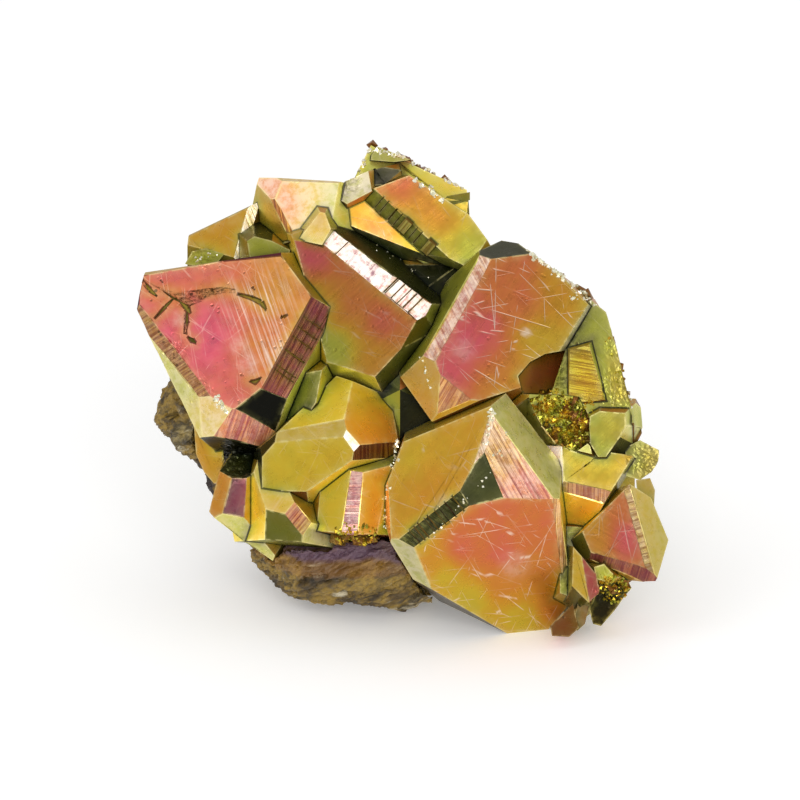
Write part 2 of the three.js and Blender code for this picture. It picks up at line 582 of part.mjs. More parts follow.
function eastSmallCrystals() {
  const olive = face([20.6, -3.2, 8.2], [8, 2]);
  const lobe = face([23.4, -2.8, 4.0], [18, 0]);
  const tab = face([24.3, -6.0, 4.5], [10, 6]);
  const spark = face([24.8, -9.0, 5.0], [20, 0]);
  const yellow = face([18.4, -4.6, 8.6], [-10, 0]);
  const plate = face([18.8, 2.6, 7.8], [15, 0]);
  return [
    blade(olive, [[22.5, -1.3], [20.0, -1.1], [19.0, -1.6], [18.8, -4.0], [19.8, -5.7], [20.6, -5.7],
      [22.0, -3.7], [22.6, -2.5]], 5),
    blade(lobe, [[23.2, -0.8], [22.2, -0.8], [22.3, -4.5], [23.5, -4.7], [24.2, -3.3], [24.0, -2.3]], 5, -8),
    blade(tab, [[24.0, -4.0], [22.5, -4.8], [22.6, -7.6], [24.0, -8.0], [25.2, -7.2], [25.9, -6.1],
      [25.9, -5.0]], 5, -8),
    blade(spark, [[25.0, -7.8], [23.6, -8.0], [23.8, -10.2], [25.4, -10.7], [25.5, -9.0]], 4, -8),
    blade(yellow, [[18.2, -3.8], [17.5, -5.0], [19.2, -5.4], [19.0, -4.6]], 2.5),
    blade(plate, [[18.9, 5.5], [17.0, 5.0], [16.9, 0.2], [18.2, -0.2], [20.5, 0.0]], 4, 24),
  ];
}

function southeastSmallCrystals() {
  const yellow = face([17.9, -17.6, 8.6], [-22, -4]);
  const green = face([20.4, -17.6, 7.0], [0, -20]);
  const dark = face([18.2, -15.5, 5.5], [10, 0]);
  const lump = face([21.3, -18.8, 5.6], [20, -10]);
  const shard = face([16.6, -22.4, 7.0], [20, 0]);
  const splinter = face([18.6, -22.0, 6.0], [25, 0]);
  const pink = fold(yellow, [18.9, -20.0], [18.2, -15.8], 44);
  return [
    crystal(yellow, [18.3, -17.6], 4.5, 90, [
      pink,
      fold(yellow, [17.3, -14.8], [17.2, -18.6], 60),
      fold(yellow, [17.2, -18.6], [18.8, -20.2], 50),
      outline([18.8, -20.1], [19.9, -19.2], 7),
      outline([19.9, -19.2], [19.4, -17.2], 7),
      outline([19.6, -17.6], [17.2, -14.8], 7),
    ]),
    blade(green, [[20.4, -16.4], [19.4, -16.7], [19.6, -17.9], [20.8, -18.3], [21.6, -17.7]], 3.5),
    blade(dark, [[20.0, -12.8], [16.0, -12.6], [16.0, -19.3], [17.8, -19.9], [19.6, -18.5]], 6),
    blade(lump, [[22.4, -17.3], [20.3, -17.9], [18.9, -20.9], [19.3, -22.4], [20.1, -22.6],
      [21.6, -20.9], [23.2, -18.8]], 6, -8),
    blade(shard, [[17.3, -20.4], [15.0, -22.6], [15.2, -23.6], [16.9, -23.7], [17.9, -22.8]], 8, -8),
    blade(splinter, [[18.9, -20.6], [17.8, -20.2], [17.4, -22.0], [17.7, -23.1], [18.5, -22.4]], 8, -8),
  ];
}

function westSmallCrystals() {
  const greenSide = face([-9.6, 0.5, 6.6], [-30, 10]);
  const brown = face([-13.2, -2.4, 6.4], [-20, -10]);
  const belowWest = face([-19.0, -5.8, 3.0], [-30, -10]);
  const yellowEdge = face([-19.8, 14.2, 1.0], [-20, 10]);
  const green = face([-13.4, 15.2, 2.4], [0, 30]);
  const tan = face([-8.6, 17.0, 4.7], [-18, 24]);
  return [
    blade(tan, [[-6.9, 17.1], [-7.5, 18.7], [-8.0, 18.8], [-10.2, 16.0], [-7.8, 15.5]], 6, 16),
    blade(greenSide, [[-7.8, 3.0], [-10.2, 2.6], [-11.7, 0.4], [-11.6, -2.2], [-9.8, -2.4], [-8.4, -0.3]], 7),
    blade(brown, [[-12.0, -1.0], [-14.0, -2.2], [-15.2, -3.5], [-12.6, -3.4]], 5),
    blade(belowWest, [[-17.8, -3.4], [-20.6, -2.6], [-20.4, -5.4], [-19.6, -7.2], [-18.4, -8.6],
      [-17.6, -6.4]], 4, -6),
    blade(yellowEdge, [[-17.6, 14.6], [-19.4, 15.2], [-20.8, 14.9], [-21.5, 13.6], [-18.8, 13.0]], 6, -6),
    blade(green, [[-12.8, 15.9], [-14.2, 16.6], [-15.3, 15.9], [-15.0, 14.0], [-11.2, 13.8],
      [-10.9, 15.4]], 6),
  ];
}

function topSmallCrystals() {
  const grey = face([-2.0, 22.3, 0.6], [-12, 34]);
  const ledge = face([-1.6, 24.2, -2.9], [-14, 26]);
  const orange = face([5.7, 19.4, 0.8], [8, 4]);
  const step = face([5.8, 20.1, 0.6], [4, 36]);
  return [
    blade(ledge, [[-2.7, 25.5], [-3.0, 23.5], [-0.6, 23.8], [2.0, 23.6], [0.2, 24.4]], 3, 0),
    blade(grey, [[0.2, 23.0], [-1.5, 23.3], [-2.9, 23.0], [-4.0, 22.2], [-3.2, 21.4], [-1.6, 21.5]], 5, -4),
    blade(orange, [[6.8, 19.8], [4.6, 20.2], [4.5, 19.0], [6.7, 18.7]], 4, -6),
    blade(step, [[7.0, 20.8], [4.7, 20.4], [4.3, 19.8], [4.7, 19.4], [7.0, 20.0]], 4, -6),
  ];
}

// Sugary crusts of tiny octahedra, each row from one place to another.
function druse() {
  const rows = [
    [[-2.6, 25.1, -4.6], [6.6, 20.5, -4.0], 12, 1.3],
    [[13.4, -0.1, 6.6], [17.4, 0.0, 6.2], 6, 1.5],
    [[13.9, -1.4, 6.6], [18.4, -1.4, 6.2], 7, 1.7],
    [[14.6, -2.7, 6.6], [18.6, -2.8, 6.2], 6, 1.6],
    [[15.6, -4.0, 6.5], [18.4, -4.3, 6.2], 5, 1.4],
    [[13.6, 13.7, 4.8], [18.2, 9.9, 5.2], 8, 1.2],
    [[-6.2, -13.4, 7.0], [-2.4, -14.2, 7.4], 7, 1.3],
    [[19.4, -20.0, 5.6], [22.6, -18.2, 5.4], 6, 1.3],
    [[21.0, 6.0, 3.6], [22.8, -0.6, 3.8], 7, 1.2],
  ];
  return rows.flatMap(([from, to, count, edge], row) => {
    const start = vector(...from);
    const end = vector(...to);
    return Array.from({ length: count }, (_, i) => {
      const at = start.clone().lerp(end, i / (count - 1));
      const wobble = vector(latticeValue(row, i, 1), latticeValue(row, i, 2), latticeValue(row, i, 3));
      at.addScaledVector(wobble, DRUSE.wobble);
      const lean = [DRUSE.lean * latticeValue(row, i, 4), DRUSE.lean * latticeValue(row, i, 5)];
      const size = edge * (1 + DRUSE.spread * latticeValue(row, i, 6));
      return plainCrystal(at.toArray(), lean, size, 180 * latticeValue(row, i, 7), DRUSE.bevel, DRUSE.corner);
    });
  });
}

// The back

function backCrystals() {
  return [
    plainCrystal([-11, 5, -9], [-160, 5], 15, 30),
    plainCrystal([2, 8, -13], [175, 15], 16, 80),
    plainCrystal([11, 3, -10], [150, 5], 15, 50),
    plainCrystal([-2, -4, -16], [185, -5], 15, 20),
    plainCrystal([-18, 5, -2], [-95, 5], 10, 60),
    plainCrystal([18, -1, -4], [100, 0], 11, 40),
    plainCrystal([11, -9, -8], [155, -10], 14, 70),
  ];
}

// The grown-together inside that all crystals share.
function heart() {
  return (growth) => {
    const body = new THREE.IcosahedronGeometry(1, 1);
    body.scale(HEART.width / 2 + growth, HEART.height / 2 + growth, HEART.depth / 2 + growth);
    body.translate(...HEART.middle);
    return solidOf(body);
  };
}

function clusterSolid(growth) {
  const parts = [
    heart(),
    westCrystal(),
    middleCrystal(),
    eastCrystal(),
    southCrystal(),
    centreCrystal(),
    southSmallCrystal(),
    stripedCrystal(),
    southwestCrystal(),
    goldCrystal(),
    southeastCrystal(),
    northFront(),
    northBack(),
    northWestEdge(),
    crownCrystal(),
    brightCrystal(),
    northwestCrystal(),
    farEastCrystal(),
    ...eastSmallCrystals(),
    ...southeastSmallCrystals(),
    ...westSmallCrystals(),
    ...topSmallCrystals(),
    ...backCrystals(),
  ];
  const whole = parts.map((part) => part(growth)).reduce((sum, part) => sum.add(part));
  const broken = whole.subtract(eastHollow()).subtract(druseHollow());
  const crusted = druse().map((part) => part(growth)).reduce((sum, part) => sum.add(part), broken);
  return largestPiece(trim(crusted, [RESTING]));
}

// The matrix

// Smooth noise that changes over about 1 mm at a scale of 1.
function noise(point, scale) {
  const at = point.clone().divideScalar(scale);
  const base = vector(Math.floor(at.x), Math.floor(at.y), Math.floor(at.z));
  const part = at.sub(base);
  const mix = (a, b, t) => a + (b - a) * t * t * (3 - 2 * t);
  const row = (j, k) => mix(
    latticeValue(base.x, base.y + j, base.z + k),
    latticeValue(base.x + 1, base.y + j, base.z + k),
    part.x,
  );
  const sheet = (k) => mix(row(0, k), row(1, k), part.y);
  return mix(sheet(0), sheet(1), part.z);
}

function rockLump([x, y, z], [width, height, depth], detail) {
  const body = new THREE.IcosahedronGeometry(1, detail);
  body.deleteAttribute("normal");
  body.deleteAttribute("uv");
  const lump = mergeVertices(body, MERGE);
  const spots = lump.attributes.position;
  for (let i = 0; i < spots.count; i += 1) {
    const spot = vector().fromBufferAttribute(spots, i);
    const out = spot.clone();
    spot.multiply(vector(width / 2, height / 2, depth / 2)).add(vector(x, y, z));
    const bump = BUMPS.reduce((sum, { height: rise, width: span }) => sum + rise * noise(spot, span), 0);
    spot.addScaledVector(out, bump);
    spots.setXYZ(i, spot.x, spot.y, spot.z);
  }
  return new Manifold(new Mesh({
    numProp: 3,
    vertProperties: new Float32Array(spots.array),
    triVerts: new Uint32Array(lump.index.array),
  }));
}

function rockSolid() {
  const whole = rockLump([-3.7, -14.9, -2.0], [22.3, 11.4, 16], 9)
    .add(rockLump([-1.5, -14.2, -9.5], [23, 13.4, 15], 8))
    .add(rockLump([-18.4, -1.0, -3.5], [11.5, 12, 12], 5))
    .add(rockLump([-8, -6, -10], [25, 20, 15], 6));
  return largestPiece(trim(whole, [RESTING]).subtract(clusterSolid(GROWTH_GAP)));
}

// The specimen

function meshOf({ name, ...looks }, solid) {
  const { numProp, vertProperties, triVerts } = solid.getMesh();
  const geometry = new THREE.BufferGeometry();
  const positions = [];
  for (const index of triVerts) {
    const start = index * numProp;
    positions.push(vertProperties[start], vertProperties[start + 1], vertProperties[start + 2]);
  }
  geometry.setAttribute("position", new THREE.Float32BufferAttribute(positions, 3));
  geometry.computeVertexNormals();
  const mesh = new THREE.Mesh(geometry, new THREE.MeshStandardMaterial(looks));
  mesh.name = name;
  return mesh;
}

function specimen() {
  const root = new THREE.Group();
  root.name = "chalcopyrite_on_pyrite";
  const tipped = new THREE.Group();
  tipped.rotation.x = radians(90 - EYE_ELEVATION);
  tipped.position.set(ORIGIN[0], ORIGIN[1], FLOOR);
  tipped.add(meshOf(PYRITE, clusterSolid(0)));
  tipped.add(meshOf(ROCK, rockSolid()));
  root.add(tipped);
  return root;
}

export default specimen();
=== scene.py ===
"""A cluster of pyrite octahedra with an iridescent skin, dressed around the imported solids.

Places on the specimen are given in the picture plane of someone who looks at its front from
EYE_ELEVATION above: x to the right and y up, in millimetres. Lengths are in millimetres as well.
"""

import math

import bmesh
import bpy
import numpy as np
from mathutils import Matrix, Vector, kdtree, noise
from mathutils.bvhtree import BVHTree


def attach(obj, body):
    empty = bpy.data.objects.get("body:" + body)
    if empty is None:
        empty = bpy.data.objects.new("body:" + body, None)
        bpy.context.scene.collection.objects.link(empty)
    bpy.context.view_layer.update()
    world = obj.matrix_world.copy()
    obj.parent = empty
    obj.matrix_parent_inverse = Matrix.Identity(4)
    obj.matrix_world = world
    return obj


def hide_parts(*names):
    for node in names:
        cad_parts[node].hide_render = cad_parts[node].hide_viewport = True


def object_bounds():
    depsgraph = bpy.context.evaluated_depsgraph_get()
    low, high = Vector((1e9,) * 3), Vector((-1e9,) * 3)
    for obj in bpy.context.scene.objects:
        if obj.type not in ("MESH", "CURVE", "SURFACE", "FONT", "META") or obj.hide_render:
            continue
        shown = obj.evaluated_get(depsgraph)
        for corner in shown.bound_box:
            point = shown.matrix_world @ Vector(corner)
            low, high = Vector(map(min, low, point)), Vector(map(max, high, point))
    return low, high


MM = 0.001
EYE_DISTANCE = 600.0
EYE_ELEVATION = math.radians(20)
FLOOR = 20.9  # how far the resting plane lies below the middle of the picture plane
ORIGIN = (-0.27, -1.247)  # the middle's x and y in the shared frame
PICTURE_WIDTH = 80.0  # seen at the picture plane
SENSOR = 36.0

# The facets of the solids
MERGE = 0.002  # corners nearer than this are one
FLAT_TURN = math.radians(0.4)  # facets that turn less than this are one
SAME_PLANE = 0.04  # how far apart two parts of one face may lie
SAME_NORMAL = 0.9998  # the least cosine between them
SHARP = math.radians(14)  # the smallest turn that counts as an edge
RIM = 0.12  # width of the worn line along an edge
NARROWEST = 3 * RIM  # a narrower facet has no rim
WIDE = 6 * RIM  # a facet below this width has half a rim
PULL = 2.5  # how far an inset corner may move, in rim widths
RIDGE = 1  # the kinds of rims
CREVICE = 2
STEP_DEPTH = 0.07  # of the growth steps on a striated face
STEP_SPREAD = (0.5, 1.2)  # from the shallowest to the deepest, in step depths
ON_PLANE = 0.0001  # corners nearer to a cut than this are on it
STEP_SEED = 7

# The refined mesh
FINE = 0.9  # longest triangle edge in front
COARSE = 2.6  # and at the back
BROKEN_EDGE = 0.34  # and where the surface is uneven
UNEVEN = 0.03  # the least rise that counts as uneven
FRONT = -1.0  # the front starts here, measured toward the eye from the middle
BROKEN_FRONT = -6.0  # and what may be broken starts here
BROKEN_SLOPE = 1.6  # how steeply a broken place fades in
HALVINGS = 7
RIDGES = ((1.3, 1.6), (3.1, 0.96))  # waves per mm and height of the ridged bumps
GRAIN = (6.0, 0.5)  # and of the grain on them

# Wear and a painted highlight along the ridges, painted shade in the crevices
SAMPLE_STEP = 0.4
SHORTEST = 0.5  # a shorter edge is left out
RIDGE_TURN = math.radians(20)
CREVICE_TURN = math.radians(25)
RIDGE_WIDTH = 0.5
# how pale the ridges are near the rim, from wear and a painted highlight
RIDGE_WEAR_AND_HIGHLIGHT = 0.35
CREVICE_WIDTH = 0.1
CREVICE_FALL = 1.5
# how much painted shade darkens a crevice
CREVICE_PAINTED_SHADE = 0.7
CREVICE_FILM = 0.15  # how much thinner the film is in a crevice
BESIDE_WIDTH = 0.9
BESIDE_FILM = 0.1  # and beside it

# The cracks of the large western face, which has the first row of FACES
WESTERN = 1
CRACK_DEPTHS = (0.01, 0.4)
CRACK_AREA = 1.5  # mm2, the largest facet in a crack
CRACK_PAINT = (0.9, 0.16)  # film and brightness inside
CRACK_EDGE = 0.4  # how far from a crack its edge is dark
CRACK_SHADE = 0.3

# The paint of facets without a row in FACES, and of what a row doesn't say
SMALL_FACET = 1.0  # mm2, the sides of notches and bars
SMALL_PAINT = (0.72, 0.4)  # film and brightness
HIDDEN_PAINT = (0.5, 0.9)
HIDDEN_SPREAD = 0.13  # how much the film differs from one facet to another
HIDDEN_WAVE = 0.05  # and across a facet
WAVE_RUN = np.array([0.35, 0.25, 0.4])  # radians per mm
HIDDEN_PITS = 0.3
COMMON_MARKS = 0.15  # scratches and pits
COMMON_GRAIN = 40  # degrees
SPOT_CORE = 1.0  # mm2, keeps the weight of a film spot finite
SPOT_FALL = 1.5

# The crust
CRUST_SEED = 11
BEAD_SCATTER = 0.16
BEAD_GLINT = (0.55, 1.0)
TINY_SPREAD = (0.5, 1.3)  # the smallest and largest, in sizes of their patch or row
TINY_SUNK = 0.15  # how far the middle is sunk, in edge lengths
HALF_DIAGONAL = 0.707  # from the middle of an octahedron to a corner, in edge lengths
CRUST_BACK = 8  # nothing further than this behind the middle carries a crust

# The matrix
SPLINTER_TILT = math.radians(25)  # its splinters run down to the right
VOXEL = 0.28
RESTING = 0.25  # the rock below this height keeps its surface
COARSE_PITCH = (0.16, 0.35, 0.5)  # waves per mm along each axis
SPLINTER_PITCH = (0.35, 0.9, 1.5)
SMALL_PITCH = (0.9, 2.0, 2.6)
SMALL_SHARE = 0.3  # how much the small waves move the ledges
LEDGES = 5
LEDGE_DEPTH = 0.6
SPLINTER_DEPTH = 0.9
SMALL_HEIGHT = 0.18
ALL_DEPTH = 0.1

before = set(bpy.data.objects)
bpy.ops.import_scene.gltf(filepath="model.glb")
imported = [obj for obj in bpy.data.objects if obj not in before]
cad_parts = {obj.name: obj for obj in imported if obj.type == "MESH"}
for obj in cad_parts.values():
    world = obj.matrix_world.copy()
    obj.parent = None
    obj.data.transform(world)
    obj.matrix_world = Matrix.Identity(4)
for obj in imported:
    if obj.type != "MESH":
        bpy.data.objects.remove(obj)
CAD_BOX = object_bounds()

RIGHT = np.array([1.0, 0.0, 0.0])
UP = np.array([0.0, math.sin(EYE_ELEVATION), math.cos(EYE_ELEVATION)])
TO_EYE = np.array([0.0, -math.cos(EYE_ELEVATION), math.sin(EYE_ELEVATION)])
MIDDLE = np.array([ORIGIN[0], ORIGIN[1], FLOOR])
EYE = MIDDLE + EYE_DISTANCE * TO_EYE


def picture(points):
    """Where points of the shared frame are seen."""
    local = points - MIDDLE
    scale = EYE_DISTANCE / (EYE_DISTANCE - local @ TO_EYE)
    return np.stack([local @ RIGHT * scale, local @ UP * scale], axis=-1)


def sight(x, y):
    """The direction from the eye to a place in the picture plane."""
    return Vector(MIDDLE + x * RIGHT + y * UP - EYE).normalized()


def linear(red, green, blue):
    """A colour given as 0 to 255 display values."""
    return tuple((channel / 255) ** 2.2 for channel in (red, green, blue)) + (1.0,)


# The paint of each face: the x and y of a place where it is seen, its brightness, its film, and
# its options. The brightness is painted light and shade: low where a face is painted dark as a
# painted reflection of dark surroundings, raised where a face lies in shade, and high on bright
# strips, where it paints a highlight. The film is one number, or it is given at some spots
# (x, y, film). It runs from dark green over yellow, gold and salmon to magenta and purple. A round
# zone is (x, y, radius, strength). Where two rows are seen on one face, the first counts. The
# options:
#   pale       how strong the whitish bloom is, and on bright strips a painted highlight
#   blotches   zones with more bloom
#   lines      the angle at which growth lines follow each other across the face, and how many
#   grain      the same angle for the patterns of a face without growth lines
#   scratch    how scratched it is
#   pits       how pitted it is
#   worn       zones with more pits
#   streaks    zones with bloom in streaks
#   sunk       the face is the floor of a crack, and its edges are not worn
FACES = [
    # The large western crystal
    (-18, 6, 1,
     [(-19.5, 7, 0.91), (-25, 10, 0.84), (-18.5, 13, 0.79), (-11.5, 12.5, 0.66),
      (-9.5, 10, 0.68), (-16, 1, 0.82), (-13, 6, 0.72), (-23, 5.5, 0.86)],
     dict(grain=20, pale=0.04, pits=0.6, scratch=0.35,
          worn=[(-23.5, 11, 1.4, 3), (-22, 10.2, 1.2, 3), (-19.5, 10.8, 1.6, 3),
                (-16.5, 11, 1.6, 3), (-12.6, 8.6, 0.8, 2), (-20.6, 5.4, 1, 2),
                (-13.2, 1.6, 1.2, 2)],
          streaks=[(-14, 9.5, 3, 1), (-12.5, 4.5, 2.2, 1)],
          blotches=[(-16, 5.4, 0.8, 0.28), (-15.2, 3.6, 1, 0.28), (-22, 8, 0.7, 0.25)])),
    (-9.4, 5.4, 0.5, 0.86, dict(lines=(-29, 22), pale=0.1)),
    (-13.8, -0.5, 0.02, 0.1),
    (-15.6, -2.2, 1.35, 0.8, dict(lines=(-20, 8), pale=0.25)),
    (-21.7, 0.9, 1.2, [(-22.5, 2, 0.3), (-19.5, -2.5, 0.4)], dict(pale=0.3)),
    (-16.8, -4.4, 0.05, 0.1),
    (-16.2, -6.6, 0.4, 0.1),
    (-10, 1.6, 1.9, 0.3),
    (-9.8, 12.4, 0.75, 0.5, dict(pits=0.6)),
    (-22.8, 13.1, 0.85, 0.55, dict(pale=0.35)),
    (-25, 11.2, 0.6, 0.6, dict(pits=1)),
    (-22.2, 3.8, 0.82, 0.66, dict(lines=(-58, 20), pits=1, pale=0.2)),
    (-17.7, 11, 0.2, 0.95, dict(sunk=True)),
    (-18.8, -1.5, 1.15, 0.45, dict(pale=0.4)),
    # The middle crystal
    (-4, 7, 0.44,
     [(-9, 14.5, 0.88), (-5, 10, 0.72), (-1.5, 8, 0.78), (-2.5, 4, 0.6),
      (-6.5, 5, 0.3), (-7, 10, 0.62)], dict(scratch=0.3)),
    (-2.5, 12.5, 2.2, 0.93, dict(pale=1.2, lines=(-37, 34))),
    (-9, 17.2, 1.05, 0.5, dict(pale=0.2)),
    (0, 13.4, 0.26, 0.15),
    (2.6, 8.4, 0.8, 0.3),
    (1.2, 6.5, 0.22, 0.4),
    (-1.2, 3, 0.6, 0.2),
    # The northern pair
    (-2.5, 17.5, 0.85, [(-4.5, 18.5, 0.66), (-1, 17.5, 0.74), (1, 16, 0.5)], dict(scratch=0.3)),
    (-1, 15.3, 0.9, 0.1),
    (0.5, 17.3, 1.3, 0.5, dict(pale=0.1, lines=(-40, 6))),
    (3, 18.5, 0.58, [(-0.5, 21.5, 0.76), (3, 18.5, 0.63), (7, 15, 0.32), (5, 20, 0.55)],
     dict(scratch=0.3)),
    (-5, 21.5, 1, 0.3, dict(pale=0.6)),
    (-2.5, 22.4, 0.4, 0.1, dict(pale=0.2)),
    # The crown
    (-1.3, 24.4, 0.75, 0.36, dict(pale=0.1)),
    (0, 23.5, 1.6, [(0, 23.5, 0.4), (5, 21, 0.45)], dict(pits=0.3, pale=0.05)),
    (5.7, 19.6, 0.75, 0.57),
    (6.1, 20.2, 0.5, 0.45),
    (-5.8, 18.9, 1.9, 0.42, dict(pale=0.1)),
    (-4.2, 19.9, 1.5, 0.75),
    (2.9, 12.8, 0.22, 0.1),
    (4.2, 11.8, 0.16, 0.15),
    (4.7, 13.8, 1.5, 0.2),
    (-6.9, 17.9, 1, 0.35),
    (-9, 21.9, 1.1, 0.5, dict(pale=0.5)),
    (-8.9, 18.1, 1.2, 0.38, dict(pale=0.2)),
    # The bright crystal and its north-western neighbour
    (-9, 20.5, 1.35, [(-12, 20, 0.7), (-9, 20.5, 0.5), (-7, 21, 0.3)], dict(pale=0.42)),
    (-12.8, 21.5, 1.5, 0.72, dict(pale=0.5)),
    (-12.4, 19.2, 1.1, 0.7, dict(lines=(10, 10))),
    (-13.8, 19, 0.9, 0.5),
    (-18.5, 16.5, 0.8, [(-20, 15.5, 0.55), (-17, 17.5, 0.6)]),
    (-15.8, 17, 1.9, 0.5, dict(pale=0.9, lines=(20, 14))),
    (-14.6, 16.8, 0.2, 0.25),
    (-13, 15, 0.85, 0.28),
    (-20, 14.2, 0.65, 0.32),
    # The large eastern crystal and the damage beside it
    (9, 8, 0.58,
     [(5, 3, 0.87), (8, 7, 0.86), (12, 10, 0.76), (16, 11, 0.62),
      (14, 6, 0.5), (10, 1, 0.68), (12, 14, 0.76), (17.5, 12, 0.45)],
     dict(scratch=1, grain=60, blotches=[(6.3, 5, 1.2, 0.2), (12.6, 6.8, 0.45, 0.8)])),
    (6, 10, 1.25, 0.74, dict(pale=0.75, lines=(27, 26))),
    (4.2, 9, 1, [(4.2, 9, 0.28), (3, 5, 0.36)]),
    (1.2, -1.4, 0.05, 0.2),
    (5.3, -1, 1.8, 0.55),
    (17.5, 7.1, 1.1, 0.3, dict(pale=0.35)),
    (19.7, 3.2, 1.2, 0.4),
    (13.5, -2.2, 1.7, 0.25),
    (22, -4.7, 0.2, 0.2),
    (23.7, -1.5, 1.2, 0.35),
    (12.1, 0.1, 2.4, 0.55),
    (2.5, 1.8, 0.95, 0.53, dict(pale=0.1)),
    (5.5, 0.2, 1.3, 0.7, dict(pale=0.15, lines=(-30, 10))),
    (10, 15.5, 0.22, 0.15, dict(pale=0.1)),
    (20.5, 5, 0.85, [(20.5, 7, 0.3), (21.5, 2, 0.38)], dict(pits=0.6, pale=0.05)),
    (14.5, 2.8, 0.5, 0.72),
    (18.5, 3, 1.15, 0.52, dict(lines=(80, 10))),
    (15, -1, 1.2, 0.42, dict(pits=1)),
    (20.5, -3.5, 0.42, 0.37),
    (24, -3, 1.3, 0.36, dict(pale=0.15)),
    (24.6, -6.2, 0.66, 0.38, dict(pale=0.1)),
    (24.8, -8.2, 0.78, 0.48, dict(pale=0.1)),
    (18.4, -4.8, 1.25, 0.36, dict(pale=0.1)),
    # The large southern crystal
    (4, -7, 0.82, [(7, -3, 0.56), (3, -9, 0.6), (1, -12, 0.56), (0, -5, 0.48)],
     dict(scratch=0.4, blotches=[(4.5, -10.5, 1, 0.25)])),
    (8.9, -3.2, 1.2, 0.6, dict(pale=0.85, lines=(20, 16))),
    (7.6, -8.8, 0.25, 0.12, dict(pits=1)),
    (3, -12.5, 0.17, 0.3, dict(lines=(55, 24))),
    (11, -7, 1.35, [(10, -6, 0.6), (12, -8.5, 0.78)], dict(pale=0.4, lines=(30, 26))),
    (13, -4.6, 1.45, 0.3, dict(pale=0.2)),
    (10, -16, 1,
     [(3, -16, 0.64), (8, -13, 0.77), (13, -12, 0.75), (10, -18, 0.68),
      (12, -22, 0.42), (7, -20, 0.42), (15.5, -20, 0.7), (10, -15.5, 0.8),
      (4.6, -17.8, 0.45), (2, -15.6, 0.55), (6, -15, 0.82)],
     dict(scratch=1, grain=50, blotches=[(11.5, -16.5, 1.4, 0.2)])),
    (0.9, -15, 1, 0.28, dict(pale=0.4)),
    (16.1, -15, 1.5, 0.62, dict(lines=(0, 30), pale=0.25)),
    (17, -14, 0.65, 0.28),
    (15, -2.6, 1.8, 0.2, dict(pale=0.15)),
    (4.8, -2, 0.8, 0.45),
    (5.4, -20.5, 0.16, 0.5),
    (15.9, -5.9, 2.4, 0.6, dict(pale=1.6)),
    (16.4, -11.7, 1.4, 0.38),
    # The golden crystal and the south-eastern ones
    (19.5, -7.2, 0.5, [(17.5, -6, 0.46), (21, -7, 0.46)]),
    (18.5, -8.7, 1.05, 0.72, dict(pale=0.25, lines=(0, 14))),
    (18, -10.4, 1.9, 0.55),
    (22, -13, 0.52,
     [(22, -11, 0.75), (22.5, -13.5, 0.86), (19.5, -14, 0.62),
      (19, -12.5, 0.58)],
     dict(scratch=0.7, grain=-30)),
    (23.8, -13, 0.95, 0.55, dict(pale=0.35, lines=(-75, 20))),
    (25.5, -13, 1.1, 0.42, dict(pale=0.15)),
    (21.5, -16.3, 0.6, 0.84, dict(lines=(-15, 12), pale=0.1)),
    (18, -17.5, 0.95, 0.5),
    (19.2, -18.4, 0.6, 0.85),
    (17.5, -20, 0.26, 0.35),
    (18.2, -14.6, 0.45, 0.3),
    (20.4, -17.4, 1.35, 0.33),
    (20.4, -10.7, 1.9, 0.52),
    (21.8, -8.4, 0.9, 0.3, dict(pale=0.2)),
    (17.1, -16.5, 0.7, 0.42),
    (18.8, -21, 0.42, 0.6, dict(pale=0.2)),
    (21.1, -19.6, 0.03, 0.45),
    (16.6, -22.4, 0.3, 0.7, dict(pits=1)),
    # The centre crystal
    (-1.2, 0.9, 0.4, 0.16),
    (-0.3, 1.7, 0.4, 0.2),
    (0.7, 0.9, 0.35, 0.15),
    (-9, -6, 0.88, [(-12.5, -6, 0.45), (-7, -6, 0.47)], dict(scratch=0.2)),
    (-9, -3.2, 0.72, 0.46, dict(pale=0.1)),
    (-7.5, 0, 1.6, 0.43),
    (-3.5, -1, 1.5, [(-3.5, 1, 0.5), (-2, -3.5, 0.6)], dict(scratch=0.2)),
    (-5.1, -3.9, 2, 0.6, dict(pale=0.95)),
    (-2.5, -5.3, 0.45, 0.7, dict(lines=(0, 10))),
    (0, -2, 0.6, 0.38),
    # The small crystals below it and to its left
    (-9.4, -10.8, 0.8, 0.5),
    (-10.6, -14.4, 0.6, 0.3),
    (-1.2, -11.4, 1.4, 0.72),
    (-6.7, -11.5, 1.1, 0.44),
    (-4.8, -10, 0.9, 0.9, dict(pale=0.6, lines=(90, 22))),
    (-2.5, -9.5, 1.35, 0.58),
    (-11.7, -10.2, 1.2, 0.46, dict(pale=0.1)),
    (-10, -11.6, 1.15, [(-10, -11.6, 0.8), (-9.2, -12.8, 0.5)], dict(pale=0.2, lines=(-40, 12))),
    (-11.5, -13, 0.28, 0.3),
    (-17.8, -9.5, 0.92, 0.63),
    (-16.5, -9.5, 0.34, 0.98, dict(pale=0.12)),
    (-14.9, -11.5, 1.9, 0.46),
    (-19.5, -5.5, 0.9, 0.56),
    (-10, 0, 1.5, 0.15),
    (-15.6, -13.2, 1.3, 0.32, dict(pale=0.2)),
    (-4.6, 2.4, 1.5, 0.28),
    (-8.2, -13.4, 1.8, 0.28, dict(pale=0.25)),
    (-5.8, -7.3, 1.9, 0.5),
    (-2.3, -6.4, 1.1, 0.28),
    (-9.8, -15.1, 0.4, 0.75),
    (-15.2, -10.2, 1.1, 0.6),
    (-7.6, 1.8, 1.4, 0.35),
    (-1.7, -12, 1.9, 0.45),
    (-13.2, -4.5, 0.12, 0.3),
    (-14.2, -5.7, 0.15, 0.2),
    (-15.7, 15.2, 0.6, 0.42),
    (-10.7, 15.2, 1.8, 0.52),
    (-15.2, 16.7, 0.35, 0.4),
]

# The options of each row, none where it gives none
OPTIONS = [dict(*row[4:]) for row in FACES]

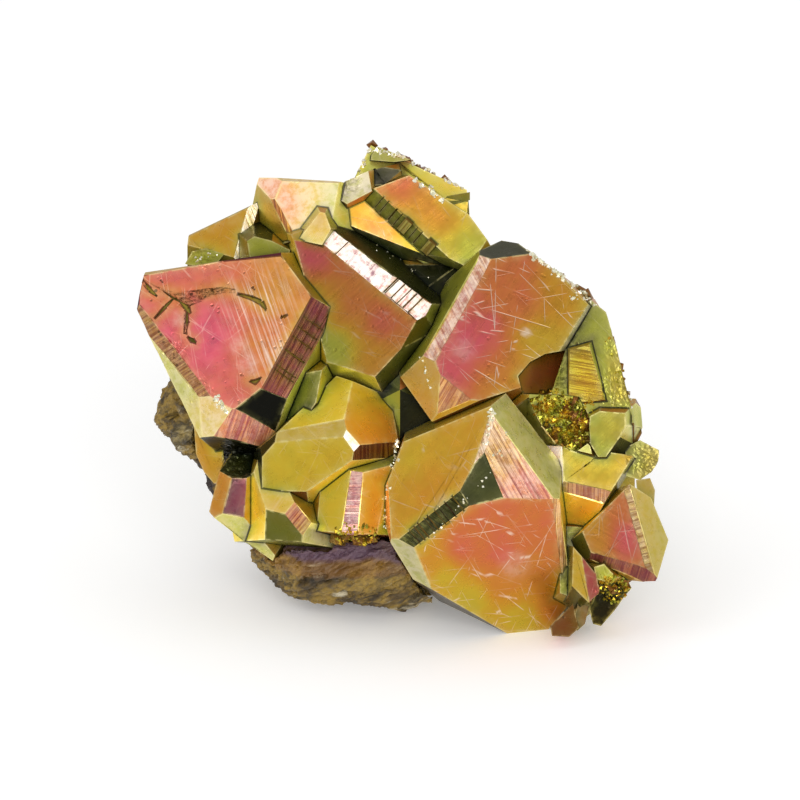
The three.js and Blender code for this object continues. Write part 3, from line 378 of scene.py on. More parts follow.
# Where a crust of tiny octahedra grows: rounded patches seen at x, y with a radius, how many
# and how large.
CRUSTS = [
    (15.2, -0.6, 1.7, 110, 0.32),
    (16.6, -2, 2.1, 190, 0.34),
    (17.2, -3.6, 1.5, 100, 0.32),
    (14, -0.4, 1.2, 50, 0.32),
    (18.6, -0.8, 1, 24, 0.28),
    (21.6, 5.4, 1.2, 26, 0.26),
    (22.4, 2.2, 1.2, 26, 0.24),
    (-5.4, -13.4, 1.2, 50, 0.3),
    (-3.4, -13.6, 1.2, 50, 0.3),
    (21.3, -18.9, 1.5, 80, 0.32),
]

# Rows of beads along broken edges, painted near white as glints: the places x, y that a row
# passes, how many beads and how large.
BEADS = [
    ([(-3.2, 25), (-1, 24.7), (0.7, 24.1), (3.6, 22.7), (6.5, 21.2)], 90, 0.36),
    ([(-3.3, 24.8), (-3.8, 23.6), (-4.2, 22.4)], 20, 0.32),
    ([(1.8, 21.9), (2.6, 21.3), (4.4, 19.8)], 26, 0.42),
    ([(12.6, 14.9), (13.4, 14.4), (15, 13.2), (16.8, 11.9), (18.6, 10.5)], 80, 0.36),
    ([(17, 10.2), (18.6, 10.2), (20.6, 9.2)], 24, 0.3),
    ([(20.8, 9.2), (21.8, 6.5), (22.8, 2.5), (23.2, -0.5)], 40, 0.3),
    ([(-18.6, 0.2), (-18, -0.6), (-17.4, -1)], 26, 0.4),
    ([(9.3, -0.8), (8.9, -2.6), (8.4, -4.4)], 30, 0.3),
    ([(2, 4.4), (2.4, 3.2), (3, 1.4)], 12, 0.26),
    ([(11, -2.6), (8.5, -8), (6.4, -10.2), (2.2, -14.4)], 24, 0.22),
    ([(-0.1, -3.7), (-0.4, -4.8), (-0.8, -7.4)], 24, 0.32),
    ([(-1.1, -8.4), (-1.5, -10.6), (-1.6, -13)], 16, 0.26),
    ([(-18, 15), (-20.5, 13.8)], 10, 0.26),
    ([(-2.6, 15.6), (0.4, 13.6), (3.2, 12.2)], 10, 0.18),
]

# Where the surface is broken and uneven: seen at x, y with a radius, and how high it rises.
BROKEN = [
    (22, 5.5, 2.4, 0.07),
    (21.8, 1.2, 2.6, 0.14),
    (16.2, -2.2, 3, 0.25),
    (-23, 4.5, 2.4, 0.1),
    (-20.5, 0.5, 2.4, 0.1),
    (-5, 21.6, 1.4, 0.12),
    (21.3, -19, 2.2, 0.25),
    (24.5, -6, 2, 0.1),
    (-16.5, -6, 2.4, 0.2),
    (-19.8, 14.2, 1.4, 0.12),
]


def facets_of(node):
    """The node's mesh in millimetres, with every flat face as one polygon."""
    mesh = node.data.copy()
    mesh.transform(node.matrix_world)
    mesh.transform(Matrix.Scale(1 / MM, 4))
    bm = bmesh.new()
    bm.from_mesh(mesh)
    bpy.data.meshes.remove(mesh)
    bmesh.ops.remove_doubles(bm, verts=bm.verts, dist=MERGE)
    bmesh.ops.dissolve_limit(
        bm,
        angle_limit=FLAT_TURN,
        verts=bm.verts,
        edges=bm.edges,
        use_dissolve_boundaries=False,
    )
    bm.faces.ensure_lookup_table()
    return bm


def paint_by_face(bm):
    """Which row of FACES each facet takes, or -1, and the facet that the first row is seen on."""
    tree = BVHTree.FromBMesh(bm)
    normals = np.array([f.normal for f in bm.faces])
    distances = np.array([f.normal.dot(f.verts[0].co) for f in bm.faces])
    rows = np.full(len(bm.faces), -1)
    first = None
    for number, (x, y, *_) in enumerate(FACES):
        face = tree.ray_cast(Vector(EYE), sight(x, y))[2]
        if face is None:
            continue
        if number == 0:
            first = face
        turned = normals @ normals[face] > SAME_NORMAL
        same = turned & (abs(distances - distances[face]) < SAME_PLANE)
        rows[same & (rows < 0)] = number
    return rows, first


def tag_facets(bm, rows, facet):
    """Tags each facet with its row plus 1, or with a number below 0 of its own.

    Returns the normal, area and centre of the facets without a row.
    """
    hidden = {}
    for face in bm.faces:
        row = rows[face.index]
        if row >= 0:
            face[facet] = int(row) + 1
        else:
            face[facet] = -1 - face.index
            hidden[face[facet]] = (tuple(face.normal), face.calc_area(), face.calc_center_median())
    return hidden


def seen_at(angle):
    """A direction that is seen at this angle, in degrees, above the one to the right."""
    return math.cos(math.radians(angle)) * RIGHT + math.sin(math.radians(angle)) * UP


def pull_back(face, reach):
    """Keeps the inset corners of a face near the corners that they came from."""
    inner = set(face.verts)
    for vert in face.verts:
        outer = [edge.other_vert(vert) for edge in vert.link_edges]
        outer = [other for other in outer if other not in inner]
        if outer:
            away = vert.co - outer[0].co
            if away.length > reach:
                vert.co = outer[0].co + away.normalized() * reach


def mark_sharp(bm):
    """A layer that says which edges are ridges and which are crevices."""
    kinds = {}
    for edge in bm.edges:
        if len(edge.link_faces) == 2:
            angle = edge.calc_face_angle_signed(0.0)
            if abs(angle) > SHARP:
                kinds[edge.index] = RIDGE if angle > 0 else CREVICE
    sharp = bm.edges.layers.int.new("sharp")
    bm.edges.ensure_lookup_table()
    for index, kind in kinds.items():
        bm.edges[index][sharp] = kind
    return sharp


def mark_rims(bm, facet, rim):
    """Insets each facet a little and marks its rim where it runs along a ridge or a crevice."""
    sharp = mark_sharp(bm)
    striated = {number + 1 for number, options in enumerate(OPTIONS) if "lines" in options}
    spans = {f: 2 * f.calc_area() / f.calc_perimeter() for f in bm.faces if f[facet] not in striated}
    for least, most, width in ((WIDE, math.inf, RIM), (NARROWEST, WIDE, RIM / 2)):
        chosen = [f for f, span in spans.items() if least <= span < most]
        ring = bmesh.ops.inset_individual(bm, faces=chosen, thickness=width, use_even_offset=True)
        for face in ring["faces"]:
            face[rim] = max((edge[sharp] for edge in face.edges), default=0)
        for face in chosen:
            pull_back(face, PULL * width)


def cut_steps(bm, facet, number, angle, count, rng):
    """Cuts growth steps across the faces of one row of FACES and sinks every other line."""
    chosen = [f for f in bm.faces if f[facet] == number + 1]
    if not chosen:
        return
    normal = max(chosen, key=lambda f: f.calc_area()).normal.copy()
    along = Vector(seen_at(angle))
    along -= along.dot(normal) * normal
    along.normalize()
    spans = [v.co.dot(along) for f in chosen for v in f.verts]
    places = np.sort(rng.uniform(min(spans), max(spans), count))
    geom = list({e for f in chosen for e in f.edges}) + list({v for f in chosen for v in f.verts})
    geom += chosen
    for order, place in enumerate(places):
        result = bmesh.ops.bisect_plane(
            bm, geom=geom, dist=ON_PLANE, plane_co=along * float(place), plane_no=along)
        if order % 2:
            sink = STEP_DEPTH * rng.uniform(*STEP_SPREAD)
            for item in result["geom_cut"]:
                if isinstance(item, bmesh.types.BMVert):
                    item.co -= normal * float(sink)
        geom = result["geom"]


def arrays_of(bm, facet, rim):
    """Points, triangles, and each triangle's facet tag and rim kind."""
    bmesh.ops.triangulate(bm, faces=bm.faces)
    bm.verts.index_update()
    points = np.array([v.co for v in bm.verts])
    triangles = np.array([[v.index for v in f.verts] for f in bm.faces])
    tags = np.array([[f[facet], f[rim]] for f in bm.faces])
    return points, triangles, tags


def edge_limit(middles):
    """The longest that a triangle edge with each of these middles may be."""
    limit = np.where((middles - MIDDLE) @ TO_EYE > FRONT, FINE, COARSE)
    return np.where(broken_at(middles) > UNEVEN, BROKEN_EDGE, limit)


def split_triangles(triangles, split):
    """The parts of all triangles, where split has the new point of each edge, or -1.

    Returns the triangles and the number of the old triangle that each one is a part of.
    """
    counts = (split >= 0).sum(axis=1)
    parts, owners = [triangles[counts == 0]], [np.flatnonzero(counts == 0)]

    def add(rows, *corners):
        parts.append(np.stack(corners, axis=1))
        owners.append(rows)

    full = np.flatnonzero(counts == 3)
    for turn in range(3):
        a, b, c = (triangles[:, (turn + k) % 3] for k in range(3))
        ab, bc, ca = (split[:, (turn + k) % 3] for k in range(3))
        one = np.flatnonzero((counts == 1) & (ab >= 0))
        add(one, a[one], ab[one], c[one])
        add(one, ab[one], b[one], c[one])
        two = np.flatnonzero((counts == 2) & (ca < 0))
        add(two, ab[two], b[two], bc[two])
        add(two, a[two], ab[two], bc[two])
        add(two, a[two], bc[two], c[two])
        add(full, a[full], ab[full], ca[full])
    add(full, ab[full], bc[full], ca[full])
    return np.vstack(parts), np.concatenate(owners)


def refine(points, triangles, tags):
    """Halves long edges until none is longer than the limit where it lies."""
    for _ in range(HALVINGS):
        pairs = np.sort(triangles[:, [[0, 1], [1, 2], [2, 0]]].reshape(-1, 2), axis=1)
        keys, back = np.unique(pairs[:, 0] * len(points) + pairs[:, 1], return_inverse=True)
        ends = np.stack([keys // len(points), keys % len(points)], axis=1)
        middles = points[ends].mean(axis=1)
        lengths = np.linalg.norm(points[ends[:, 0]] - points[ends[:, 1]], axis=1)
        long = lengths > edge_limit(middles)
        if not long.any():
            break
        index = np.full(len(keys), -1)
        index[long] = len(points) + np.arange(long.sum())
        points = np.vstack([points, middles[long]])
        triangles, owners = split_triangles(triangles, index[back].reshape(-1, 3))
        tags = tags[owners]
    return points, triangles, tags


def distances_to(samples, points):
    """How far each point is from the nearest sample."""
    tree = kdtree.KDTree(len(samples))
    for i, sample in enumerate(samples):
        tree.insert(sample, i)
    tree.balance()
    return np.array([tree.find(point)[2] for point in points])


def edge_samples(bm, convex):
    """Points along the ridges, or else along the crevices."""
    samples = []
    for edge in bm.edges:
        if len(edge.link_faces) != 2 or edge.calc_length() < SHORTEST:
            continue
        angle = edge.calc_face_angle_signed(0.0)
        if (angle > RIDGE_TURN) if convex else (angle < -CREVICE_TURN):
            start, end = (v.co for v in edge.verts)
            steps = max(2, int(edge.calc_length() / SAMPLE_STEP))
            samples += [start.lerp(end, k / steps) for k in range(steps + 1)]
    return samples


def share_of(seen, x, y, radius):
    """How far places in the picture plane are from x, y, as a share of a radius."""
    return np.hypot(seen[:, 0] - x, seen[:, 1] - y) / radius


def broken_at(points):
    """How uneven the surface is at each point."""
    seen = picture(points)
    height = np.zeros(len(points))
    for x, y, radius, rise in BROKEN:
        fade = np.clip(BROKEN_SLOPE * (1 - share_of(seen, x, y, radius)), 0, 1)
        height = np.maximum(height, rise * fade)
    return height * ((points - MIDDLE) @ TO_EYE > BROKEN_FRONT)


def unit(vectors):
    """The vectors at length 1."""
    return vectors / np.maximum(np.linalg.norm(vectors, axis=1, keepdims=True), 1e-12)


def crossed(points, triangles):
    """A vector along each triangle's normal, twice as long as its area is large."""
    a, b, c = (points[triangles[:, k]] for k in range(3))
    return np.cross(b - a, c - a)


def roughen(points, triangles):
    """Breaks up the uneven places with small sharp bumps."""
    faces = crossed(points, triangles)
    normals = np.zeros_like(points)
    for k in range(3):
        np.add.at(normals, triangles[:, k], faces)
    normals = unit(normals)
    heights = broken_at(points)
    result = points.copy()
    for i in np.flatnonzero(heights > 0.0):
        bump = sum(rise * abs(noise.noise(Vector(points[i] * pitch))) for pitch, rise in RIDGES)
        bump += GRAIN[1] * noise.noise(Vector(points[i] * GRAIN[0]))
        result[i] -= normals[i] * heights[i] * bump
    return result


def placed(name, data):
    """A new object in the scene."""
    obj = bpy.data.objects.new(name, data)
    bpy.context.scene.collection.objects.link(obj)
    return obj


def mesh_of(name, points, triangles):
    """An object made of points in millimetres, kept inside the box of the solids."""
    mesh = bpy.data.meshes.new(name)
    mesh.from_pydata(np.clip(points * MM, *CAD_BOX).tolist(), [], triangles.tolist())
    mesh.validate()
    return placed(name, mesh)


def corner_colours(mesh, name, values):
    """Stores four values for every corner of every triangle."""
    layer = mesh.color_attributes.new(name, "FLOAT_COLOR", "CORNER")
    layer.data.foreach_set("color", np.ascontiguousarray(values, dtype=np.float32).ravel())


# The paint of the crystals


def film_at(seen, film):
    """The film of a face, between its spots if it has any, nearer ones counting more."""
    if isinstance(film, float):
        return film
    total = np.zeros(len(seen))
    weights = np.zeros(len(seen))
    for x, y, thickness in film:
        weight = 1 / ((seen[:, 0] - x) ** 2 + (seen[:, 1] - y) ** 2 + SPOT_CORE) ** SPOT_FALL
        total += weight * thickness
        weights += weight
    return total / weights


def hidden_paint(normal, area, centre, crack):
    """Film, brightness and options of a facet without a row, from its size and the way it looks."""
    crack_normal, crack_plane = crack
    least, most = CRACK_DEPTHS
    if least < crack_plane - crack_normal.dot(centre) < most and area < CRACK_AREA:
        return *CRACK_PAINT, dict(pits=HIDDEN_PITS, sunk=True)
    if area < SMALL_FACET:
        return *SMALL_PAINT, dict(pits=HIDDEN_PITS)
    x, y, z = normal
    wave = math.sin(3.1 * x + 1.0) + math.sin(2.3 * y + 2.0) + math.sin(4.1 * z)
    film, value = HIDDEN_PAINT
    return film + HIDDEN_SPREAD * wave, value, dict(pits=HIDDEN_PITS)


def zones(seen, places, fall=2):
    """How much the round zones add at places in the picture plane."""
    total = np.zeros(len(seen))
    for x, y, radius, strength in places:
        total += strength * np.exp(-share_of(seen, x, y, radius) ** fall)
    return total


def looks_of(seen, film, value, options):
    """Film, painted brightness, bloom and no worn rim yet, then lines, scratches, pits and streaks."""
    look = np.zeros((len(seen), 4))
    look[:, 0] = film
    look[:, 1] = value
    look[:, 2] = options.get("pale", 0.0) + zones(seen, options.get("blotches", ()), fall=4)
    mark = np.zeros((len(seen), 4))
    mark[:, 0] = float("lines" in options)
    mark[:, 1] = options.get("scratch", COMMON_MARKS)
    mark[:, 2] = options.get("pits", COMMON_MARKS) + zones(seen, options.get("worn", ()))
    mark[:, 3] = zones(seen, options.get("streaks", ()))
    return look, mark


def flat_places(corners, normal, options):
    """Places on a facet, the first axis running at the seen angle of its lines or grain."""
    angle = options["lines"][0] if "lines" in options else options.get("grain", COMMON_GRAIN)
    along = seen_at(angle)
    along = along - along @ normal * normal
    along /= np.linalg.norm(along)
    return np.stack([corners @ along, corners @ np.cross(normal, along)], axis=1)


def paint_facets(points, triangles, owners, hidden, crack):
    """The look, marks and flat place of every corner, and whether it is in a crack."""
    corners = points[triangles.ravel()]
    seen = picture(corners)
    normals = unit(crossed(points, triangles))
    look = np.zeros((len(corners), 4))
    mark = np.zeros((len(corners), 4))
    flat = np.zeros((len(corners), 2))
    sunken = np.zeros(len(corners), dtype=bool)
    for owner in np.unique(owners):
        chosen = np.repeat(owners == owner, 3)
        if owner > 0:
            value, film = FACES[owner - 1][2:4]
            film = film_at(seen[chosen], film)
            options = OPTIONS[owner - 1]
            normal = normals[owners == owner].mean(axis=0)
        else:
            normal, area, centre = hidden[owner]
            film, value, options = hidden_paint(normal, area, centre, crack)
            film = film + HIDDEN_WAVE * np.sin(corners[chosen] @ WAVE_RUN)
        look[chosen], mark[chosen] = looks_of(seen[chosen], film, value, options)
        flat[chosen] = flat_places(corners[chosen], np.asarray(normal), options)
        sunken[chosen] = options.get("sunk", False)
    return look, mark, flat, sunken


def wear_and_highlight_ridges(look, corners, owners, rims, sunken, distances):
    """Wears the ridges pale and paints a highlight along them, but not in the cracks, and darkens the
    edges of the cracks.
    """
    look[:, 3] = np.exp(-(distances / RIDGE_WIDTH) ** 2) * RIDGE_WEAR_AND_HIGHLIGHT
    look[rims == RIDGE, 3] = 1.0
    look[sunken, 3] = 0.0
    edges = np.flatnonzero((rims == RIDGE) & (owners == WESTERN))
    beside = edges[distances_to(corners[sunken], corners[edges]) < CRACK_EDGE]
    look[beside, 3] = 0.0
    look[beside, 1] *= CRACK_SHADE


def paint_crevice_shade(look, rims, distances):
    """Paints shade into the crevices and makes the film in and beside them thinner."""
    inside = np.exp(-(distances / CREVICE_WIDTH) ** CREVICE_FALL)
    inside[rims == CREVICE] = 1.0
    beside = np.exp(-(distances / BESIDE_WIDTH) ** 2)
    look[:, 1] *= 1 - CREVICE_PAINTED_SHADE * inside
    look[:, 0] -= CREVICE_FILM * inside + BESIDE_FILM * beside


def dress_cluster(node):
    """The crystals, with worn rims that carry a painted highlight, painted shade in the crevices, growth
    steps, broken places and paint.
    """
    bm = facets_of(node)
    rows, first = paint_by_face(bm)
    crevices = edge_samples(bm, False)
    ridges = edge_samples(bm, True)
    facet = bm.faces.layers.int.new("facet")
    rim = bm.faces.layers.int.new("rim")
    hidden = tag_facets(bm, rows, facet)
    western = bm.faces[first]
    crack = (western.normal.copy(), western.normal.dot(western.verts[0].co))
    mark_rims(bm, facet, rim)
    rng = np.random.default_rng(STEP_SEED)
    for number, options in enumerate(OPTIONS):
        if "lines" in options:
            cut_steps(bm, facet, number, *options["lines"], rng)
    points, triangles, tags = refine(*arrays_of(bm, facet, rim))
    bm.free()
    points = roughen(points, triangles)
    obj = mesh_of("crystals", points, triangles)
    look, mark, flat, sunken = paint_facets(points, triangles, tags[:, 0], hidden, crack)
    at_corners = triangles.ravel()
    owners, rims = np.repeat(tags, 3, axis=0).T
    to_ridge = distances_to(ridges, points)[at_corners]
    wear_and_highlight_ridges(look, points[at_corners], owners, rims, sunken, to_ridge)
    paint_crevice_shade(look, rims, distances_to(crevices, points)[at_corners])
    corner_colours(obj.data, "look", look)
    corner_colours(obj.data, "mark", mark)
    layer = obj.data.uv_layers.new(name="flat")
    layer.data.foreach_set("uv", flat.astype(np.float32).ravel())
    return obj


# Materials


class Nodes:
    """A small builder for one node material."""

    def __init__(self, name):
        self.material = bpy.data.materials.new(name)
        self.material.use_nodes = True
        self.tree = self.material.node_tree
        self.tree.nodes.clear()
        self.out = self.add("ShaderNodeOutputMaterial")

    def add(self, kind, inputs=None, **settings):
        node = self.tree.nodes.new(kind)
        for key, value in settings.items():
            setattr(node, key, value)
        for key, value in (inputs or {}).items():
            self.feed(node.inputs[key], value)
        return node

    def feed(self, socket, value):
        """Gives an input a value, or the output of another node."""
        if isinstance(value, bpy.types.NodeSocket):
            self.tree.links.new(value, socket)
        else:
            socket.default_value = value

    def math(self, operation, a, b, clamp=False):
        node = self.add("ShaderNodeMath", {0: a, 1: b}, operation=operation, use_clamp=clamp)
        return node.outputs[0]

    def plus(self, a, b, clamp=False):
        return self.math("ADD", a, b, clamp)

    def minus(self, a, b):
        return self.math("SUBTRACT", a, b)

    def times(self, a, b, clamp=False):
        return self.math("MULTIPLY", a, b, clamp)

    def shift(self, value, pattern, amount):
        """The value moved by a pattern that runs around a half."""
        return self.plus(value, self.times(self.minus(pattern, 0.5), amount))

    def stretched(self, vector, factors):
        node = self.add("ShaderNodeVectorMath", {0: vector, 1: factors}, operation="MULTIPLY")
        return node.outputs[0]

    def turned(self, vector, angle, axis):
        node = self.add("ShaderNodeVectorRotate", {"Vector": vector, "Angle": angle}, rotation_type=axis)
        return node.outputs["Vector"]

    def mix(self, factor, a, b, blend="MIX"):
        node = self.add("ShaderNodeMix", data_type="RGBA", blend_type=blend, clamp_factor=True)
        for key, value in (("Factor_Float", factor), ("A_Color", a), ("B_Color", b)):
            self.feed(next(s for s in node.inputs if s.identifier == key), value)
        return next(s for s in node.outputs if s.identifier == "Result_Color")

    def noise(self, vector, scale, detail, roughness=0.55, distortion=0.0):
        node = self.add("ShaderNodeTexNoise", {
            "Vector": vector, "Scale": scale, "Detail": detail, "Roughness": roughness,
            "Distortion": distortion,
        })
        return node.outputs["Fac"]

    def cells(self, vector, scale, feature="F1"):
        node = self.add("ShaderNodeTexVoronoi", {"Vector": vector, "Scale": scale}, feature=feature)
        return node.outputs["Distance"]

    def between(self, value, low, high, to_low=0.0, to_high=1.0):
        node = self.add("ShaderNodeMapRange", {
            "Value": value, "From Min": low, "From Max": high, "To Min": to_low, "To Max": to_high,
        }, interpolation_type="SMOOTHSTEP")
        return node.outputs[0]

    def ramp(self, factor, stops):
        """A colour ramp with the given stops, lowest first."""
        node = self.add("ShaderNodeValToRGB", {"Fac": factor})
        elements = node.color_ramp.elements
        for position, colour in stops[2:]:
            elements.new(position)
        for element, (position, colour) in zip(elements, stops):
            element.position = position
            element.color = colour
        return node.outputs["Color"]

    def object_place(self):
        return self.add("ShaderNodeTexCoord").outputs["Object"]

    def bump(self, height, strength, distance):
        node = self.add("ShaderNodeBump", {"Height": height, "Strength": strength, "Distance": distance})
        return node.outputs[0]

    def finish(self, **inputs):
        """Ends in one surface with these inputs, their names written with underscores."""
        named = {key.replace("_", " "): value for key, value in inputs.items()}
        shader = self.add("ShaderNodeBsdfPrincipled", named)
        self.tree.links.new(shader.outputs[0], self.out.inputs["Surface"])
        return self.material


# From the thinnest film to the thickest
FILM = [
    (0.00, linear(48, 58, 34)),
    (0.15, linear(104, 106, 44)),
    (0.30, linear(168, 168, 60)),
    (0.45, linear(194, 164, 48)),
    (0.60, linear(198, 138, 44)),
    (0.75, linear(200, 110, 62)),
    (0.90, linear(208, 84, 100)),
    (1.00, linear(136, 62, 96)),
]
BLOOM_AND_HIGHLIGHT = linear(248, 230, 216)
SCRATCH = linear(252, 232, 210)
PIT = linear(70, 42, 30)
WORN_AND_HIGHLIT = linear(228, 214, 150)

# The fine scratches run in these directions, each at its own spacing in millimetres
HAIRS = ((0.3, 1.5), (1.15, 2.2), (2.3, 1.8), (2.9, 2.6))


def painted(n, name):
    """The four values of a painted layer."""
    layer = n.add("ShaderNodeAttribute", attribute_name=name).outputs
    parts = n.add("ShaderNodeSeparateColor", {"Color": layer["Color"]}).outputs
    return parts[0], parts[1], parts[2], layer["Alpha"]


def scratches(n, place, flat):
    """Fine straight scratches in a few directions, with gaps."""
    hair = 0.0
    for angle, spacing in HAIRS:
        turned = n.turned(flat, angle, "Z_AXIS")
        across = n.cells(n.stretched(turned, (1 / spacing, 0.05, 1.0)), 1.0, "DISTANCE_TO_EDGE")
        gaps = n.noise(n.stretched(turned, (0.9, 0.25, 1.0)), scale=1 / spacing + 0.7, detail=2.0)
        width = n.between(across, 0.0, 0.014, to_low=1.0, to_high=0.0)
        hair = n.math("MAXIMUM", hair, n.times(width, n.between(gaps, 0.5, 0.58)))
    crowded = n.noise(place, scale=260.0, detail=3.0)
    return n.times(hair, n.between(crowded, 0.42, 0.56, to_low=0.25))


def pitting(n, place, pits):
    """Small round pits, in fields."""
    spots = n.between(n.cells(place, 1500.0), 0.16, 0.3, to_low=1.0, to_high=0.0)
    field = n.noise(place, scale=300.0, detail=3.0, roughness=0.6)
    return n.times(n.times(spots, n.between(field, 0.5, 0.66)), pits, clamp=True)


def whitish(n, place, flat, pale, streak, thin):
    """How much the bloom, which on bright strips is a painted highlight, whitens the skin; the thin
    stripes keep more colour.
    """
    streaks = n.noise(n.stretched(flat, (3.2, 0.12, 1.0)), 1.0, detail=5.0, roughness=0.7, distortion=0.3)
    streaks = n.times(n.between(streaks, 0.46, 0.62), n.times(streak, 0.6))
    kept = n.minus(1.0, n.times(thin, 0.55))
    return n.plus(n.times(pale, kept), streaks, clamp=True)


def brightness(n, value, stripe, pale, rim):
    """The painted light and shade of the skin from each face's painted brightness: lower in the stripes,
    and never low on a worn rim, where a highlight is painted.
    """
    depth = n.times(stripe, n.minus(0.5, n.times(pale, 0.4)))
    bright = n.times(value, n.minus(0.92, depth))
    # a worn rim keeps a painted highlight, even on a face painted dark
    bright = n.math("MAXIMUM", bright, n.times(rim, 0.55))
    return n.add("ShaderNodeCombineColor", {"Red": bright, "Green": bright, "Blue": bright}).outputs[0]


def pyrite_material():
    """Film colours with stripes, bloom, scratches, pits and worn rims, times each face's painted light
    and shade.
    """
    n = Nodes("iridescent pyrite")
    place = n.object_place()
    flat = n.add("ShaderNodeUVMap", uv_map="flat").outputs["UV"]
    film, value, pale, wear_and_highlight = painted(n, "look")
    lines, scratch, pits, streak = painted(n, "mark")

    drift = n.noise(place, scale=220.0, detail=2.0)
    cloud = n.noise(place, scale=900.0, detail=4.0, roughness=0.6)
    growth = n.noise(n.stretched(flat, (0.15, 3.2, 1.0)), scale=1.0, detail=3.0, roughness=0.6)
    stripes = n.noise(n.stretched(flat, (3.6, 0.1, 1.0)), scale=1.0, detail=6.0, roughness=0.75)
    stripe = n.times(n.between(stripes, 0.42, 0.56), lines)
    thin = n.times(n.between(stripes, 0.54, 0.6), lines)
    for pattern, amount in ((drift, 0.16), (cloud, 0.05), (growth, 0.05), (stripe, n.times(lines, 0.12))):
        film = n.shift(film, pattern, amount)
    colour = n.ramp(film, FILM)

    patches = n.noise(place, scale=1100.0, detail=5.0, roughness=0.7)
    pale = n.times(pale, n.between(patches, 0.35, 0.6, to_low=0.35))
    white = whitish(n, place, flat, pale, streak, thin)
    # bloom, and on bright strips a painted highlight
    colour = n.mix(white, colour, BLOOM_AND_HIGHLIGHT)
    hair = n.times(scratches(n, place, flat), scratch)
    colour = n.mix(n.times(hair, 0.65), colour, SCRATCH)
    pit = pitting(n, place, pits)
    colour = n.mix(n.times(pit, 0.85), colour, PIT)
    ragged = n.noise(place, scale=1200.0, detail=2.0)
    rim = n.times(wear_and_highlight, n.between(ragged, 0.35, 0.6, to_low=0.25))
    # worn rims: pale from wear and from a painted highlight
    colour = n.mix(n.times(rim, 0.55), colour, WORN_AND_HIGHLIT)
    # each face's painted light and shade multiplies the colour
    colour = n.mix(1.0, colour, brightness(n, value, stripe, pale, rim), "MULTIPLY")

    grain = n.noise(place, scale=700.0, detail=3.0)
    roughness = n.between(grain, 0.3, 0.7, to_low=0.24, to_high=0.38)
    roughness = n.plus(roughness, n.times(hair, 0.2))
    roughness = n.plus(roughness, n.times(white, 0.08))
    relief = n.plus(n.times(stripe, 0.5), n.times(growth, 0.25))
    relief = n.minus(relief, n.times(hair, 0.25))
    relief = n.minus(relief, n.times(pit, 1.2))
    relief = n.plus(relief, n.times(cloud, 0.2))
    normal = n.bump(relief, strength=0.35, distance=0.12 * MM)
    return n.finish(
        Base_Color=colour, Roughness=roughness, Normal=normal, Metallic=0.6, Specular_IOR_Level=0.2)


def crust_material():
    """Yellow and green tiny crystals, with beads painted near white as glints."""
    n = Nodes("crust of tiny crystals")
    place = n.object_place()
    bead = painted(n, "tint")[0]
    film = n.noise(place, scale=900.0, detail=2.0)
    colour = n.ramp(n.between(film, 0.3, 0.7, to_low=0.22, to_high=0.52), FILM)
    gaps = n.between(n.cells(place, 900.0), 0.2, 0.7, to_low=0.3, to_high=0.0)
    colour = n.mix(gaps, colour, linear(80, 64, 30))
    # beads painted near white as glints
    colour = n.mix(bead, colour, linear(250, 246, 226))
    grain = n.noise(place, scale=1500.0, detail=2.0)
    roughness = n.between(grain, 0.3, 0.7, to_low=0.16, to_high=0.36)
    return n.finish(Base_Color=colour, Roughness=roughness, Metallic=0.8)


def stain(n, place):
    """How brown and how purple the rock is under the crystals, away from its western end."""
    axes = n.add("ShaderNodeSeparateXYZ", {"Vector": place}).outputs
    height = n.shift(axes["Z"], n.noise(place, scale=260.0, detail=2.0), 2.0 * MM)
    eastern = n.between(axes["X"], -16.5 * MM, -13.5 * MM, to_low=0.1)
    below = n.between(height, 9.8 * MM, 11.2 * MM, to_low=1.0, to_high=0.0)
    under = n.times(eastern, below)
    brown = n.times(n.between(height, 5.6 * MM, 6.4 * MM), under)
    purple = n.times(n.between(height, 7.4 * MM, 8.2 * MM), under)
    return brown, purple


def rock_material():
    """Brown and yellow rock with painted shade in the gaps between splinters, painted highlights on the
    splinters and a stained upper rim.
    """
    n = Nodes("brown broken matrix")
    place = n.object_place()
    grain = n.turned(place, SPLINTER_TILT, "Y_AXIS")
    splinters = n.noise(n.stretched(grain, (0.35, 1.0, 1.5)), 420.0, 6.0, roughness=0.68, distortion=0.4)
    broad = n.noise(n.stretched(grain, (0.6, 1.0, 1.3)), scale=190.0, detail=5.0, roughness=0.62)
    fine = n.noise(place, scale=1100.0, detail=6.0, roughness=0.72)
    colour = n.ramp(broad, [
        (0.34, linear(30, 24, 16)),
        (0.44, linear(84, 66, 30)),
        (0.52, linear(146, 118, 50)),
        (0.60, linear(70, 60, 36)),
        (0.72, linear(172, 152, 100)),
    ])
    # painted shade in the low gaps between the splinters
    gaps = n.between(splinters, 0.34, 0.47, to_low=0.8, to_high=0.0)
    colour = n.mix(gaps, colour, linear(34, 26, 16))
    # painted highlight on the high splinters
    colour = n.mix(n.between(splinters, 0.58, 0.7, to_high=0.75), colour, linear(214, 202, 170))
    pores = n.between(fine, 0.3, 0.5, to_low=0.6, to_high=0.0)
    colour = n.mix(pores, colour, linear(44, 34, 22))
    brown, purple = stain(n, place)
    colour = n.mix(n.times(brown, 0.5), colour, linear(146, 104, 52))
    colour = n.mix(n.times(purple, 0.7), colour, linear(84, 66, 96))
    relief = n.plus(n.times(splinters, 0.8), n.times(fine, 0.4))
    normal = n.bump(relief, strength=0.7, distance=0.4 * MM)
    roughness = n.between(fine, 0.3, 0.7, to_low=0.35, to_high=0.7)
    return n.finish(Base_Color=colour, Roughness=roughness, Normal=normal, Metallic=0.0)


def floor_material():
    """A pale, slightly glowing floor."""
    n = Nodes("pale floor")
    return n.finish(
        Base_Color=(0.9, 0.9, 0.9, 1.0),
        Roughness=0.7,
        Emission_Color=(1.0, 1.0, 1.0, 1.0),
        Emission_Strength=0.2,
    )


# The crust of tiny octahedra

